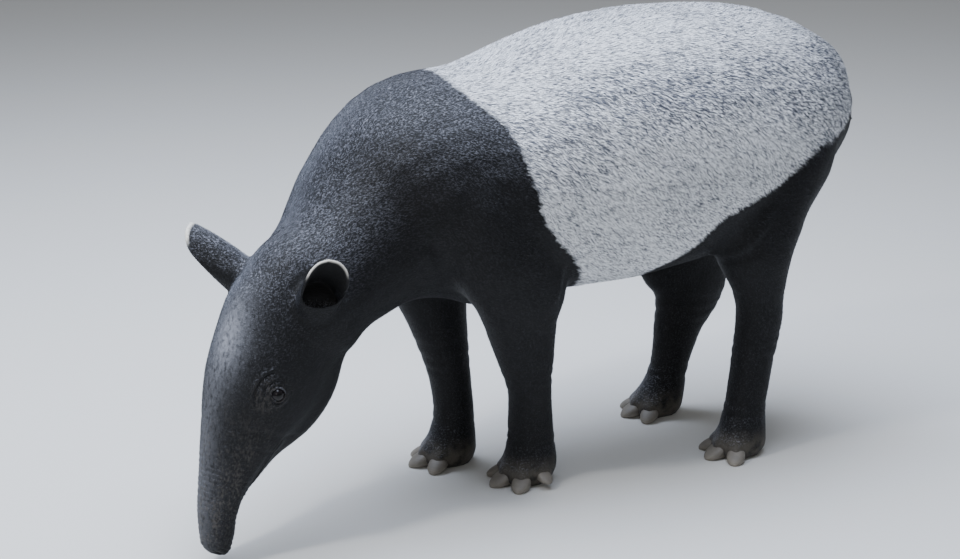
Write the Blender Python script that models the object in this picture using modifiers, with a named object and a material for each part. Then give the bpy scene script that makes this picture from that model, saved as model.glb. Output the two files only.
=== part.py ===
"""Life-size Malayan tapir standing with its head lowered and its long nose reaching down.

Metres, +Z up. The animal faces -Y and its left side is at +X. Points are given as ahead, left and up,
and the finished parts are moved so that the origin is at the bottom centre of the whole animal.
"""

import math
from collections import namedtuple

import bmesh
import bpy
from mathutils import Matrix, Vector

# Driving sizes of an adult
RUMP_TOP = 1.06
WITHERS_TOP = 0.965
BELLY_LOW = 0.432
BARREL_HALF = 0.285
EYE_RADIUS = 0.0172
EAR_WALL = 0.0045

# Modelling settings
GAP = 0.0003
VOXEL = 0.010
BODY_TRIANGLES = 8600

# name: (colour, roughness, metallic) of the surfaces
COLOURS = {
    "coat_black": (0.020, 0.020, 0.023),
    "coat_white": (0.62, 0.62, 0.60),
    "hoof": (0.11, 0.095, 0.08),
    "eye": (0.012, 0.008, 0.006),
}
ROUGHNESS = {"coat_black": 0.75, "coat_white": 0.8, "hoof": 0.5, "eye": 0.08}

Section = namedtuple("Section", "ahead left up wide above below top bottom", defaults=(2.0, 2.0))
Foot = namedtuple("Foot", "name ahead left turn outer hind")
FEET = [
    Foot("forefoot_left", 0.200, 0.082, 4, 1, False),
    Foot("forefoot_right", 0.315, -0.095, -4, -1, False),
    Foot("hindfoot_left", -0.332, 0.165, 4, 1, True),
    Foot("hindfoot_right", -0.300, -0.150, -4, -1, True),
]


def point(ahead, left, up):
    """A place on the animal as scene coordinates."""
    return Vector((left, -ahead, up))


def spline(values, steps):
    """Points of a smooth curve through equal-length rows of numbers, with steps between each two rows."""
    rows = [values[0]] + list(values) + [values[-1]]
    result = []
    for i in range(1, len(rows) - 2):
        before, start, end, after = rows[i - 1 : i + 3]
        for k in range(steps):
            t = k / steps
            result.append([
                0.5 * (2 * b + (c - a) * t + (2 * a - 5 * b + 4 * c - d) * t * t
                       + (3 * b - a - 3 * c + d) * t ** 3)
                for a, b, c, d in zip(before, start, end, after)
            ])
    result.append(list(rows[-2]))
    return result


def rounded(angle, power):
    """Cosine and sine of a superellipse: power 2 is an ellipse, more is boxier, less is pointed."""
    c, s = math.cos(angle), math.sin(angle)
    return (math.copysign(abs(c) ** (2 / power), c), math.copysign(abs(s) ** (2 / power), s))


def loft(forms, sections, place=Matrix.Identity(4), steps=4, sides=28, grow=0.0, side=Vector((1, 0, 0))):
    """Adds a closed form to the bmesh forms, through sections square to the line of their centres."""
    rows = spline([list(s) for s in sections], steps)
    centres = [point(*row[:3]) for row in rows]
    rings = []
    for i, row in enumerate(rows):
        wide, above, below = (size + grow for size in row[3:6])
        top, bottom = row[6:]
        along = (centres[min(i + 1, len(rows) - 1)] - centres[max(i - 1, 0)]).normalized()
        across = (side - along * side.dot(along)).normalized()
        dorsal = along.cross(across)
        ring = []
        for k in range(sides):
            angle = 2 * math.pi * k / sides
            c, s = rounded(angle, top if math.sin(angle) > 0 else bottom)
            offset = across * (wide * c) + dorsal * (s * (above if s > 0 else below))
            ring.append(forms.verts.new(place @ (centres[i] + offset)))
        rings.append(ring)
    for one, two in zip(rings, rings[1:]):
        for k in range(sides):
            forms.faces.new((one[k], one[k - 1], two[k - 1], two[k]))
    for ring, centre, turn in ((rings[0], centres[0], 1), (rings[-1], centres[-1], -1)):
        forms.faces.new(ring[::turn])


def ellipsoid(forms, centre, radii, place=Matrix.Identity(4), turn=Matrix.Identity(4)):
    """Adds an ellipsoid whose radii are given ahead, left and up."""
    shape = Matrix.Diagonal((radii[1], radii[0], radii[2], 1))
    matrix = place @ Matrix.Translation(point(*centre)) @ turn @ shape
    bmesh.ops.create_uvsphere(forms, u_segments=24, v_segments=14, radius=1, matrix=matrix)


def trunk_and_neck(forms):
    """The barrel from the rump to the throat."""
    loft(forms, [
        Section(-0.672, 0.0, 0.82, 0.04, 0.045, 0.05),
        Section(-0.648, 0.0, 0.820, 0.100, 0.136, 0.095),
        Section(-0.575, 0.0, 0.800, 0.176, 0.213, 0.138),
        Section(-0.46, 0.0, 0.775, 0.240, 0.268, 0.205),
        Section(-0.28, 0.0, 0.76, 0.282, RUMP_TOP - 0.76, 0.285),
        Section(-0.08, 0.0, 0.755, 0.295, 0.304, 0.316),
        Section(0.12, 0.0, 0.735, BARREL_HALF, 0.291, 0.735 - BELLY_LOW),
        Section(0.30, 0.0, 0.715, 0.270, WITHERS_TOP - 0.715, 0.285),
        Section(0.44, 0.01, 0.69, 0.235, 0.263, 0.268),
        Section(0.56, 0.03, 0.635, 0.185, 0.222, 0.200),
        Section(0.67, 0.08, 0.57, 0.145, 0.165, 0.145),
        Section(0.77, 0.13, 0.51, 0.120, 0.142, 0.115),
        Section(0.84, 0.16, 0.46, 0.09, 0.08, 0.08),
    ])


# The head is shaped level, with its poll at the origin and its nose ahead, and then turned down
HEAD_POLL = point(0.872, 0.15, 0.635)
HEAD_DOWN = math.radians(63)
HEAD_TURN = math.radians(16)
HEAD = (Matrix.Translation(HEAD_POLL) @ Matrix.Rotation(HEAD_TURN, 4, "Z")
        @ Matrix.Rotation(HEAD_DOWN, 4, "X"))


def head_and_trunk(forms):
    """The skull, muzzle, lower jaw and the long nose."""
    loft(forms, [
        Section(-0.08, 0, -0.12, 0.05, 0.06, 0.06),
        Section(-0.01, 0, -0.11, 0.092, 0.104, 0.10, 1.8),
        Section(0.07, 0, -0.115, 0.106, 0.143, 0.13, 1.7),
        Section(0.16, 0, -0.120, 0.109, 0.148, 0.14, 1.7),
        Section(0.25, 0, -0.120, 0.100, 0.137, 0.135, 1.8),
        Section(0.34, 0, -0.120, 0.076, 0.106, 0.090),
        Section(0.42, 0, -0.122, 0.056, 0.082, 0.050),
        Section(0.50, 0, -0.128, 0.043, 0.058, 0.036),
        Section(0.565, 0, -0.148, 0.037, 0.044, 0.034),
        Section(0.590, 0, -0.156, 0.034, 0.040, 0.032),
    ], HEAD)
    loft(forms, [
        Section(0.08, 0, -0.20, 0.075, 0.06, 0.055),
        Section(0.19, 0, -0.215, 0.076, 0.05, 0.080),
        Section(0.28, 0, -0.205, 0.060, 0.04, 0.074),
        Section(0.37, 0, -0.183, 0.036, 0.03, 0.032),
        Section(0.43, 0, -0.172, 0.026, 0.02, 0.018),
        Section(0.455, 0, -0.168, 0.018, 0.012, 0.012),
    ], HEAD)
    ellipsoid(forms, (0.590, 0, -0.155), (0.020, 0.033, 0.036), HEAD)


def forelegs(forms):
    """Shoulder, arm and shank of both front legs, the left one set back and the right one ahead."""
    loft(forms, [
        Section(0.42, 0.09, 0.86, 0.07, 0.07, 0.07),
        Section(0.39, 0.14, 0.76, 0.10, 0.12, 0.13),
        Section(0.34, 0.165, 0.62, 0.10, 0.13, 0.13),
        Section(0.28, 0.16, 0.50, 0.085, 0.11, 0.12),
        Section(0.257, 0.140, 0.40, 0.070, 0.087, 0.083),
        Section(0.232, 0.12, 0.29, 0.060, 0.062, 0.062),
        Section(0.212, 0.10, 0.21, 0.051, 0.052, 0.052),
        Section(0.200, 0.085, 0.12, 0.054, 0.056, 0.056),
        Section(0.200, 0.082, 0.035, 0.062, 0.065, 0.064),
    ])
    loft(forms, [
        Section(0.46, -0.07, 0.84, 0.07, 0.07, 0.07),
        Section(0.44, -0.13, 0.74, 0.10, 0.12, 0.13),
        Section(0.41, -0.15, 0.60, 0.10, 0.13, 0.13),
        Section(0.37, -0.14, 0.49, 0.085, 0.11, 0.12),
        Section(0.35, -0.12, 0.39, 0.068, 0.08, 0.085),
        Section(0.33, -0.105, 0.29, 0.058, 0.062, 0.062),
        Section(0.315, -0.10, 0.20, 0.049, 0.050, 0.050),
        Section(0.31, -0.095, 0.12, 0.050, 0.050, 0.052),
        Section(0.315, -0.095, 0.035, 0.060, 0.062, 0.060),
    ])


def hindlegs(forms):
    """Thigh, gaskin, hock and cannon of both hind legs."""
    loft(forms, [
        Section(-0.46, 0.10, 0.86, 0.08, 0.12, 0.12),
        Section(-0.43, 0.138, 0.74, 0.11, 0.19, 0.132),
        Section(-0.38, 0.160, 0.62, 0.100, 0.18, 0.098),
        Section(-0.352, 0.170, 0.52, 0.086, 0.122, 0.088),
        Section(-0.362, 0.170, 0.42, 0.064, 0.076, 0.056),
        Section(-0.365, 0.168, 0.34, 0.054, 0.062, 0.057),
        Section(-0.352, 0.165, 0.25, 0.050, 0.056, 0.056),
        Section(-0.340, 0.165, 0.15, 0.050, 0.054, 0.054),
        Section(-0.332, 0.165, 0.035, 0.056, 0.062, 0.056),
    ])
    loft(forms, [
        Section(-0.42, -0.10, 0.86, 0.08, 0.12, 0.12),
        Section(-0.42, -0.140, 0.74, 0.11, 0.18, 0.150),
        Section(-0.36, -0.160, 0.60, 0.10, 0.17, 0.145),
        Section(-0.34, -0.163, 0.49, 0.084, 0.140, 0.138),
        Section(-0.36, -0.160, 0.40, 0.066, 0.124, 0.128),
        Section(-0.378, -0.155, 0.32, 0.056, 0.104, 0.108),
        Section(-0.350, -0.15, 0.22, 0.049, 0.072, 0.060),
        Section(-0.325, -0.15, 0.13, 0.048, 0.052, 0.052),
        Section(-0.305, -0.15, 0.035, 0.056, 0.062, 0.056),
    ])


def tail(forms):
    """The short tail, hanging close to the rump."""
    loft(forms, [
        Section(-0.60, 0, 0.86, 0.03, 0.03, 0.03),
        Section(-0.672, 0, 0.838, 0.027, 0.027, 0.027),
        Section(-0.709, 0, 0.803, 0.022, 0.022, 0.022),
        Section(-0.724, 0, 0.757, 0.016, 0.016, 0.016),
        Section(-0.724, 0, 0.725, 0.009, 0.009, 0.009),
    ], sides=12)


def foot_place(foot):
    """Where a foot stands on the floor, its middle toe pointing ahead."""
    turn = Matrix.Rotation(math.radians(foot.turn), 4, "Z")
    return Matrix.Translation(point(foot.ahead, foot.left, 0)) @ turn


def toes(foot):
    """Name, direction in degrees, distance out, height and scale of each toe of a foot."""
    rows = [("middle", 0, 0.053, 0.0, 1.0), ("inner", -41 * foot.outer, 0.050, 0.0, 0.94),
            ("outer", 41 * foot.outer, 0.050, 0.0, 0.94)]
    if not foot.hind:
        rows.append(("side", 88 * foot.outer, 0.048, 0.016, 0.72))
    return rows


def toe_place(foot, toe):
    name, direction, out, height, scale = toe
    turn = Matrix.Rotation(math.radians(direction), 4, "Z")
    return foot_place(foot) @ turn @ Matrix.Translation(point(out, 0, height)) @ Matrix.Scale(scale, 4)


def foot_flesh(forms, foot):
    """The pad and the soft part of the toes."""
    ellipsoid(forms, (0.004, 0, 0.034), (0.066, 0.058, 0.052), foot_place(foot))
    for toe in toes(foot):
        ellipsoid(forms, (-0.004, 0, 0.024), (0.042, 0.0255, 0.032), toe_place(foot, toe))


def hoof(forms, foot, toe, grow=0.0):
    """One hoof: rounded above, pointed ahead and flat where it meets the floor."""
    before = set(forms.verts)
    loft(forms, [
        Section(-0.002 - grow, 0, 0.0190, 0.0150, 0.0120, 0.0180),
        Section(0.006, 0, 0.0185, 0.0195, 0.0165, 0.0185, 2.3, 2.6),
        Section(0.022, 0, 0.0160, 0.0222, 0.0160, 0.0165, 2.3, 2.6),
        Section(0.038, 0, 0.0115, 0.0195, 0.0115, 0.0120, 2.2, 2.6),
        Section(0.049, 0, 0.0075, 0.0125, 0.0070, 0.0080, 2.0, 2.4),
        Section(0.054 + grow, 0, 0.0050, 0.0055, 0.0030, 0.0045),
    ], toe_place(foot, toe), steps=1, sides=14, grow=grow)
    if grow == 0.0:
        for vert in set(forms.verts) - before:
            vert.co.z = max(vert.co.z, 0.0)


# Eye and ear places, in the level head before it is turned down: ahead, left and up of the poll
EYE = (0.247, 0.0865, -0.092)
EYE_RISE = math.radians(18)
LID = (0.0275, 0.0182, 0.0212)
# Root of an ear: distance, half width and depth; and half of its edge from the tip to the front notch
EAR_ROOT = (-0.036, 0.044, 0.040)
EAR_RIM = [
    (0.128, 0.000, -0.018), (0.125, 0.021, -0.013), (0.114, 0.037, -0.003), (0.095, 0.046, 0.008),
    (0.072, 0.049, 0.015), (0.048, 0.044, 0.021), (0.029, 0.029, 0.027), (0.022, 0.000, 0.030),
]
EARS = {
    "ear_left": (point(0.783, 0.226, 0.549), point(-0.01, 0.63, 0.74), point(0.10, 1.02, -0.25)),
    "ear_right": (point(0.900, 0.079, 0.595), point(0.57, -0.52, 0.60), point(0.60, -0.45, -0.90)),
}

# The way the side of the head faces under each ear
EAR_ROOT_OUT = {"ear_left": point(0.11, 0.95, 0.30), "ear_right": point(0.40, -0.60, 0.50)}


def ear_place(name):
    """Frame of an ear: its length ahead, its width left and its opening up."""
    base, length, opening = EARS[name]
    length = length.normalized()
    opening = (opening - length * opening.dot(length)).normalized()
    width = opening.cross(length)
    turn = Matrix((width, -length, opening)).transposed().to_4x4()
    return Matrix.Translation(base) @ turn


def ear_line(angle, rim, t):
    """A place on the outside of an ear: t runs from its root at 0 to its edge at 1."""
    c, s = math.cos(angle), math.sin(angle)
    root = Vector((EAR_ROOT[0], EAR_ROOT[1] * s, -EAR_ROOT[2] * c))
    reach = (rim - root).length
    leave, arrive = Vector((1, 0, 0)) * reach, Vector((1, 0.16 * s, 0.32 * c)) * reach
    return (root * (2 * t ** 3 - 3 * t ** 2 + 1) + leave * (t ** 3 - 2 * t ** 2 + t)
            + rim * (3 * t ** 2 - 2 * t ** 3) + arrive * (t ** 3 - t ** 2))


def ear_shell(forms, name):
    """An ear: rings up its outside, over the edge and down into the cup."""
    half = [Vector(spot) for spot in EAR_RIM]
    rim = half + [Vector((v.x, -v.y, v.z)) for v in half[-2:0:-1]]
    angles = [2 * math.pi * k / len(rim) for k in range(len(rim))]
    rings = []
    for t in (0.0, 0.25, 0.45, 0.6, 0.75, 0.88, 1.0):
        rings.append([ear_line(a, spot, t) for a, spot in zip(angles, rim)])
    for t in (1.0, 0.82, 0.64, 0.48):
        ring = [ear_line(a, spot, t) for a, spot in zip(angles, rim)]
        centre = sum(ring, Vector()) / len(ring)
        wall = EAR_WALL * (2 - t)
        rings.append([spot + (centre - spot).normalized() * wall for spot in ring])
    place = ear_place(name)
    close_rims(forms, [[forms.verts.new(place @ point(*spot)) for spot in ring] for ring in rings])


def eye_place(side):
    """Frame of an eye, facing out of the side of the head and a little up."""
    return (HEAD @ Matrix.Translation(point(EYE[0], EYE[1] * side, EYE[2]))
            @ Matrix.Rotation(-side * EYE_RISE, 4, "Y"))


def eyelids(forms, side):
    """The swelling that holds the eye."""
    ellipsoid(forms, (0, 0.0015 * side, 0), (LID[0], LID[1], LID[2]), eye_place(side))


def eyeball(forms, side, grow=0.0):
    bmesh.ops.create_uvsphere(forms, u_segments=16, v_segments=10, radius=EYE_RADIUS + grow,
                              matrix=eye_place(side))


def eye_opening(forms, side):
    """An almond through the lids, its front corner a little lower."""
    tilt = Matrix.Rotation(math.radians(14), 4, "X")
    rims = []
    for out in (0.004, 0.040):
        rim = []
        for k in range(20):
            angle = 2 * math.pi * k / 20
            along, up = 0.0148 * math.cos(angle), 0.0125 * math.sin(angle) * abs(math.sin(angle)) ** 0.3
            rim.append(forms.verts.new(eye_place(side) @ tilt @ point(along, out * side, up)))
        rims.append(rim)
    close_rims(forms, rims)


def close_rims(forms, rims):
    """Joins loops of the same length into a closed form with a face at both ends."""
    count = len(rims[0])
    for one, two in zip(rims, rims[1:]):
        for k in range(count):
            forms.faces.new((one[k], one[k - 1], two[k - 1], two[k]))
    forms.faces.new(rims[0])
    forms.faces.new(rims[-1][::-1])


def mouth_line(forms):
    """A narrow groove between the upper and the lower lip, round the front of the jaw."""
    half = [(0.325, 0.074), (0.36, 0.062), (0.40, 0.050), (0.44, 0.036), (0.462, 0.020), (0.468, 0.0)]
    path = half + [(along, -out) for along, out in half[-2::-1]]
    rims = []
    for i, (along, out) in enumerate(path):
        before, after = path[max(i - 1, 0)], path[min(i + 1, len(path) - 1)]
        run = Vector((after[0] - before[0], after[1] - before[1])).normalized()
        across = Vector((run.y, -run.x)) * -1
        level = -0.160 - 0.012 * (0.468 - along) / 0.143
        rims.append([forms.verts.new(HEAD @ point(along + across.x * d, out + across.y * d, level + z))
                     for d, z in ((-0.010, -0.0018), (0.016, -0.0018), (0.016, 0.0018), (-0.010, 0.0018))])
    close_rims(forms, rims)


def nostrils(forms):
    for side in (-1, 1):
        ellipsoid(forms, (0.604, 0.013 * side, -0.150), (0.024, 0.0055, 0.0085), HEAD)


def new_object(name, forms, collection):
    """A mesh object made of the closed forms, with its faces turned outwards."""
    bmesh.ops.recalc_face_normals(forms, faces=forms.faces)
    mesh = bpy.data.meshes.new(name)
    forms.to_mesh(mesh)
    forms.free()
    obj = bpy.data.objects.new(name, mesh)
    collection.objects.link(obj)
    return obj


def applied(obj):
    """Takes the result of an object's modifiers as its own mesh."""
    bpy.context.view_layer.update()
    depsgraph = bpy.context.evaluated_depsgraph_get()
    mesh = bpy.data.meshes.new_from_object(obj.evaluated_get(depsgraph))
    obj.modifiers.clear()
    obj.data = mesh


def combine(obj, operation, cutter, solver="EXACT"):
    """Boolean of two closed meshes; the second one stays as a hidden guide."""
    cutter.hide_render = True
    cutter.display_type = "WIRE"
    boolean = obj.modifiers.new(operation.lower(), "BOOLEAN")
    boolean.operation = operation
    boolean.solver = solver
    boolean.object = cutter
    applied(obj)


def built(name, collection, *makers):
    """An object from functions that each add forms to one bmesh."""
    forms = bmesh.new()
    for maker, *values in makers:
        maker(forms, *values)
    return new_object(name, forms, collection)


def body(collection):
    """All flesh as one smooth closed surface with flat soles."""
    obj = built("body", collection, (trunk_and_neck,), (head_and_trunk,), (forelegs,), (hindlegs,),
                (tail,), *[(foot_flesh, foot) for foot in FEET])
    remesh = obj.modifiers.new("skin", "REMESH")
    remesh.mode = "VOXEL"
    remesh.voxel_size = VOXEL
    smooth = obj.modifiers.new("smooth", "SMOOTH")
    smooth.factor = 0.5
    smooth.iterations = 10
    applied(obj)
    fewer = obj.modifiers.new("fewer", "DECIMATE")
    fewer.ratio = BODY_TRIANGLES / sum(len(face.vertices) - 2 for face in obj.data.polygons)
    fewer.use_collapse_triangulate = True
    applied(obj)
    for vert in obj.data.vertices:
        vert.co.z = max(vert.co.z, 0.0)
    return obj


def slab(forms, centre, normal, radius):
    """A disc as thin as the gap between two parts."""
    turn = point(*normal).normalized().to_track_quat("Z", "Y").to_matrix().to_4x4()
    matrix = Matrix.Translation(point(*centre)) @ turn
    bmesh.ops.create_cone(forms, cap_ends=True, segments=24, radius1=radius, radius2=radius,
                          depth=GAP, matrix=matrix)


def head_slab(forms, along, up, radius):
    """A slab across the head at a distance from the poll."""
    centre, ahead = HEAD @ point(along, 0, up), HEAD.to_3x3() @ point(1, 0, 0)
    slab(forms, (-centre.y, centre.x, centre.z), (-ahead.y, ahead.x, ahead.z), radius)


def ear_slab(forms, name):
    """A slab through the root of an ear, lying along the head."""
    base, length, opening = EARS[name]
    centre = base + length.normalized() * 0.024
    out = length.normalized() + EAR_ROOT_OUT[name]
    slab(forms, (-centre.y, centre.x, centre.z), (-out.y, out.x, out.z), 0.062)


CUTS = [
    # neck and head, shoulders, front and rear edge of the saddle
    ((0.724, 0.132, 0.571), (0.76, 0.22, -0.61), 0.205),
    ((0.560, 0.030, 0.665), (0.96, 0.06, -0.28), 0.265),
    ((0.270, 0.0, 0.715), (0.854, 0.0, -0.521), 0.42),
    ((-0.330, 0.0, 0.660), (0.520, 0.0, 0.854), 0.50),
    # tail root
    ((-0.719, 0.0, 0.768), (0.15, 0.0, 0.99), 0.036),
    # forelegs: elbow, knee and ankle
    ((0.265, 0.145, 0.420), (0, 0, 1), 0.125),
    ((0.222, 0.110, 0.255), (0, 0, 1), 0.095),
    ((0.202, 0.085, 0.092), (0, 0, 1), 0.080),
    ((0.352, -0.125, 0.405), (0, 0, 1), 0.120),
    ((0.325, -0.100, 0.255), (0, 0, 1), 0.095),
    ((0.312, -0.095, 0.092), (0, 0, 1), 0.080),
    # hind legs: knee, hock and ankle
    ((-0.360, 0.170, 0.440), (0, 0, 1), 0.120),
    ((-0.362, 0.168, 0.320), (0, 0, 1), 0.100),
    ((-0.336, 0.165, 0.092), (0, 0, 1), 0.085),
    ((-0.350, -0.160, 0.440), (0, 0, 1), 0.150),
    ((-0.375, -0.155, 0.300), (0, 0, 1), 0.125),
    ((-0.312, -0.150, 0.092), (0, 0, 1), 0.085),
]

# Middle of each part of the flesh, by which a loose piece finds its name, and its colour
LABELS = {
    "snout": (1.00, 0.20, 0.09),
    "head": (0.86, 0.15, 0.40),
    "neck": (0.65, 0.08, 0.60),
    "shoulders": (0.36, 0.0, 0.69),
    "torso": (-0.18, 0.0, 0.78),
    "rump": (-0.38, 0.0, 0.55),
    "tail": (-0.72, 0.0, 0.75),
    "foreleg_left_upper": (0.245, 0.13, 0.34),
    "foreleg_left_lower": (0.21, 0.10, 0.17),
    "forefoot_left": (0.215, 0.082, 0.04),
    "foreleg_right_upper": (0.335, -0.11, 0.33),
    "foreleg_right_lower": (0.315, -0.10, 0.17),
    "forefoot_right": (0.330, -0.095, 0.04),
    "hindleg_left_upper": (-0.36, 0.17, 0.38),
    "hindleg_left_lower": (-0.345, 0.165, 0.20),
    "hindfoot_left": (-0.320, 0.165, 0.04),
    "hindleg_right_upper": (-0.36, -0.158, 0.37),
    "hindleg_right_lower": (-0.35, -0.152, 0.20),
    "hindfoot_right": (-0.290, -0.150, 0.04),
    "ear_left": (0.79, 0.29, 0.62),
    "ear_right": (0.93, 0.045, 0.65),
}


def loose_pieces(obj):
    """The separate closed shells of an object, each as a bmesh of its own."""
    whole = bmesh.new()
    whole.from_mesh(obj.data)
    whole.verts.ensure_lookup_table()
    group = {}
    for start in whole.verts:
        if start.index in group:
            continue
        group[start.index] = start.index
        stack = [start]
        while stack:
            for edge in stack.pop().link_edges:
                for vert in edge.verts:
                    if vert.index not in group:
                        group[vert.index] = start.index
                        stack.append(vert)
    pieces = []
    for key in sorted(set(group.values())):
        piece = whole.copy()
        piece.verts.ensure_lookup_table()
        bmesh.ops.delete(piece, geom=[v for v in piece.verts if group[v.index] != key], context="VERTS")
        pieces.append(piece)
    whole.free()
    return pieces


def middle(piece):
    """Centre of the box round a piece, as ahead, left and up."""
    low = [min(vert.co[i] for vert in piece.verts) for i in range(3)]
    high = [max(vert.co[i] for vert in piece.verts) for i in range(3)]
    x, y, z = ((a + b) / 2 for a, b in zip(low, high))
    return Vector((-y, x, z))


def part_pieces(obj, collection):
    """Turns the loose pieces of the cut body into named objects."""
    parts = {}
    for piece in loose_pieces(obj):
        centre = middle(piece)
        name = min(LABELS, key=lambda label: (Vector(LABELS[label]) - centre).length)
        if name in parts:
            raise ValueError(f"two pieces of the body are nearest to {name}: {centre[:]}")
        parts[name] = new_object(name, piece, collection)
    missing = set(LABELS) - set(parts)
    if missing:
        raise ValueError(f"no piece of the body for {sorted(missing)}")
    return parts


def halves(rump, collection):
    """Parts the thighs along the middle of the animal."""
    forms = bmesh.new()
    bmesh.ops.create_cube(forms, size=1, matrix=Matrix.Diagonal((GAP, 3, 3, 1)))
    combine(rump, "DIFFERENCE", new_object("cut_middle", forms, guides()), "MANIFOLD")
    sides = {}
    for piece in loose_pieces(rump):
        name = "thigh_left" if middle(piece).y > 0 else "thigh_right"
        if name in sides:
            raise ValueError(f"two pieces for {name}")
        sides[name] = new_object(name, piece, collection)
    bpy.data.objects.remove(rump)
    return sides


def guides():
    """The collection that keeps the cutters."""
    name = "cutters"
    if name not in bpy.data.collections:
        bpy.context.scene.collection.children.link(bpy.data.collections.new(name))
    return bpy.data.collections[name]


def material(name):
    """A plain Principled material."""
    result = bpy.data.materials.new(name)
    result.use_nodes = True
    shader = result.node_tree.nodes["Principled BSDF"]
    shader.inputs["Base Color"].default_value = (*COLOURS[name], 1)
    shader.inputs["Roughness"].default_value = ROUGHNESS[name]
    result.diffuse_color = (*COLOURS[name], 1)
    return result


def paint(obj, name):
    obj.data.materials.clear()
    obj.data.materials.append(bpy.data.materials.get(name) or material(name))


def origin_shift(objects):
    """The step that brings the bottom centre of the box round all objects to the origin."""
    points = [obj.matrix_world @ vert.co for obj in objects for vert in obj.data.vertices]
    low = Vector([min(p[i] for p in points) for i in range(3)])
    high = Vector([max(p[i] for p in points) for i in range(3)])
    return Vector((-(low.x + high.x) / 2, -(low.y + high.y) / 2, 0.0))


def main():
    for obj in list(bpy.data.objects):
        bpy.data.objects.remove(obj)
    tapir = bpy.data.collections.new("tapir")
    bpy.context.scene.collection.children.link(tapir)
    flesh = body(tapir)
    names = list(EARS)
    sides = (-1, 1)
    all_toes = [(foot, toe) for foot in FEET for toe in toes(foot)]
    combine(flesh, "UNION", built("add_ears_lids", guides(), *[(ear_shell, n) for n in names],
                                  *[(eyelids, side) for side in sides]))
    combine(flesh, "DIFFERENCE", built("cut_hollows", guides(), *[(eyeball, side, GAP) for side in sides],
                                       (nostrils,)))
    combine(flesh, "DIFFERENCE", built("cut_lids", guides(), *[(eye_opening, side) for side in sides],
                                       (mouth_line,), *[(hoof, f, t, 2 * GAP) for f, t in all_toes]),
            "MANIFOLD")
    for i, cut in enumerate(CUTS):
        combine(flesh, "DIFFERENCE", built(f"cut_{i}", guides(), (slab, *cut)), "MANIFOLD")
    combine(flesh, "DIFFERENCE", built("cut_head", guides(), (head_slab, 0.487, -0.13, 0.085),
                                       *[(ear_slab, n) for n in names]), "MANIFOLD")
    parts = part_pieces(flesh, tapir)
    bpy.data.objects.remove(flesh)
    parts.update(halves(parts.pop("rump"), tapir))
    for obj in parts.values():
        paint(obj, "coat_white" if obj.name == "torso" else "coat_black")
    for side, name in zip(sides, ("eye_right", "eye_left")):
        parts[name] = built(name, tapir, (eyeball, side))
        paint(parts[name], "eye")
    for foot, toe in all_toes:
        name = foot.name.replace("foot", "hoof") + "_" + toe[0]
        parts[name] = built(name, tapir, (hoof, foot, toe))
        paint(parts[name], "hoof")
    shift = origin_shift(parts.values())
    for obj in list(parts.values()) + list(guides().objects):
        obj.data.transform(Matrix.Translation(shift))
        obj.data.update()


if __name__ == "__main__":
    main()
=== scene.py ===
"""Dresses the solids of the life-size Malayan tapir: one skin with its folds, lids and ears, a short
coat in tufts, wet eyes and hooves, on a pale studio floor.

Metres, +Z up. The animal faces -Y and its left side is at +X. Places are given as ahead, left and up.
"""

import math
from functools import partial

import bmesh
import bpy
import numpy as np
from mathutils import Matrix, Vector, noise
from mathutils.bvhtree import BVHTree


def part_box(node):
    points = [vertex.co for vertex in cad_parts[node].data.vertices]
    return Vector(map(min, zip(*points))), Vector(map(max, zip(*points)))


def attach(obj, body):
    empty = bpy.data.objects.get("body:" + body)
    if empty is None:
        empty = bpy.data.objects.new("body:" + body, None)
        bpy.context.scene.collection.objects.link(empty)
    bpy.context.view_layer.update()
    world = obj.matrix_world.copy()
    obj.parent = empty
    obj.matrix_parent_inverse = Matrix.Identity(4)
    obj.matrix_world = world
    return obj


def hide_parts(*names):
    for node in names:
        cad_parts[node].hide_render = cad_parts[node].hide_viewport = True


bl_info = {
    "name": "Malayan tapir, museum model",
    "version": (1, 0, 0),
    "blender": (4, 5, 0),
    "location": "3D View > Sidebar > Tapir",
    "description": "Builds the skin, coat, eyes, hooves and studio of a life-size tapir",
    "category": "Object",
}

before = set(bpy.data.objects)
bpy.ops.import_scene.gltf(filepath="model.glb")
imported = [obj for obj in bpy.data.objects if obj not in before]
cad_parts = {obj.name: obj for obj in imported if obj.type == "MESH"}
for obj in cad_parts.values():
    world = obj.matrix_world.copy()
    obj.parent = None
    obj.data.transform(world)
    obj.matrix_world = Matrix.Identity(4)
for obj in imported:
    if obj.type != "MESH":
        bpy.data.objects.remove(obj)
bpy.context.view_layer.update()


def point(ahead, left, up):
    """A place or direction given as ahead, left and up."""
    return Vector((left, -ahead, up))


# The head is shaped level, with its poll at the origin and its nose ahead, and then turned and lowered
HEAD_TURN = math.radians(16)
HEAD_DOWN = math.radians(63)
HEAD_AT_POLL = (Matrix.Translation(point(0.872, 0.15, 0.635)) @ Matrix.Rotation(HEAD_TURN, 4, "Z")
                @ Matrix.Rotation(HEAD_DOWN, 4, "X"))
# Centre of the left eye on the level head, and how far the eyes look up
EYE = (0.247, 0.0865, -0.092)
EYE_RISE = math.radians(18)


def eye_place(side):
    """Frame of an eye, facing out of the side of the head and a little up."""
    return (HEAD @ Matrix.Translation(point(EYE[0], EYE[1] * side, EYE[2]))
            @ Matrix.Rotation(-side * EYE_RISE, 4, "Y"))


def centre_of(node):
    low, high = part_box(node)
    return (low + high) / 2


# The solids stand with the bottom centre of their box at the origin; the eyes show how far that is
ORIGIN = (centre_of("eye_left") + centre_of("eye_right")) / 2 - HEAD_AT_POLL @ point(EYE[0], 0, EYE[2])
HEAD = Matrix.Translation(ORIGIN) @ HEAD_AT_POLL

# Root of an ear: distance from its base, half width and half depth
EAR_ROOT = (-0.036, 0.044, 0.040)
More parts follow.
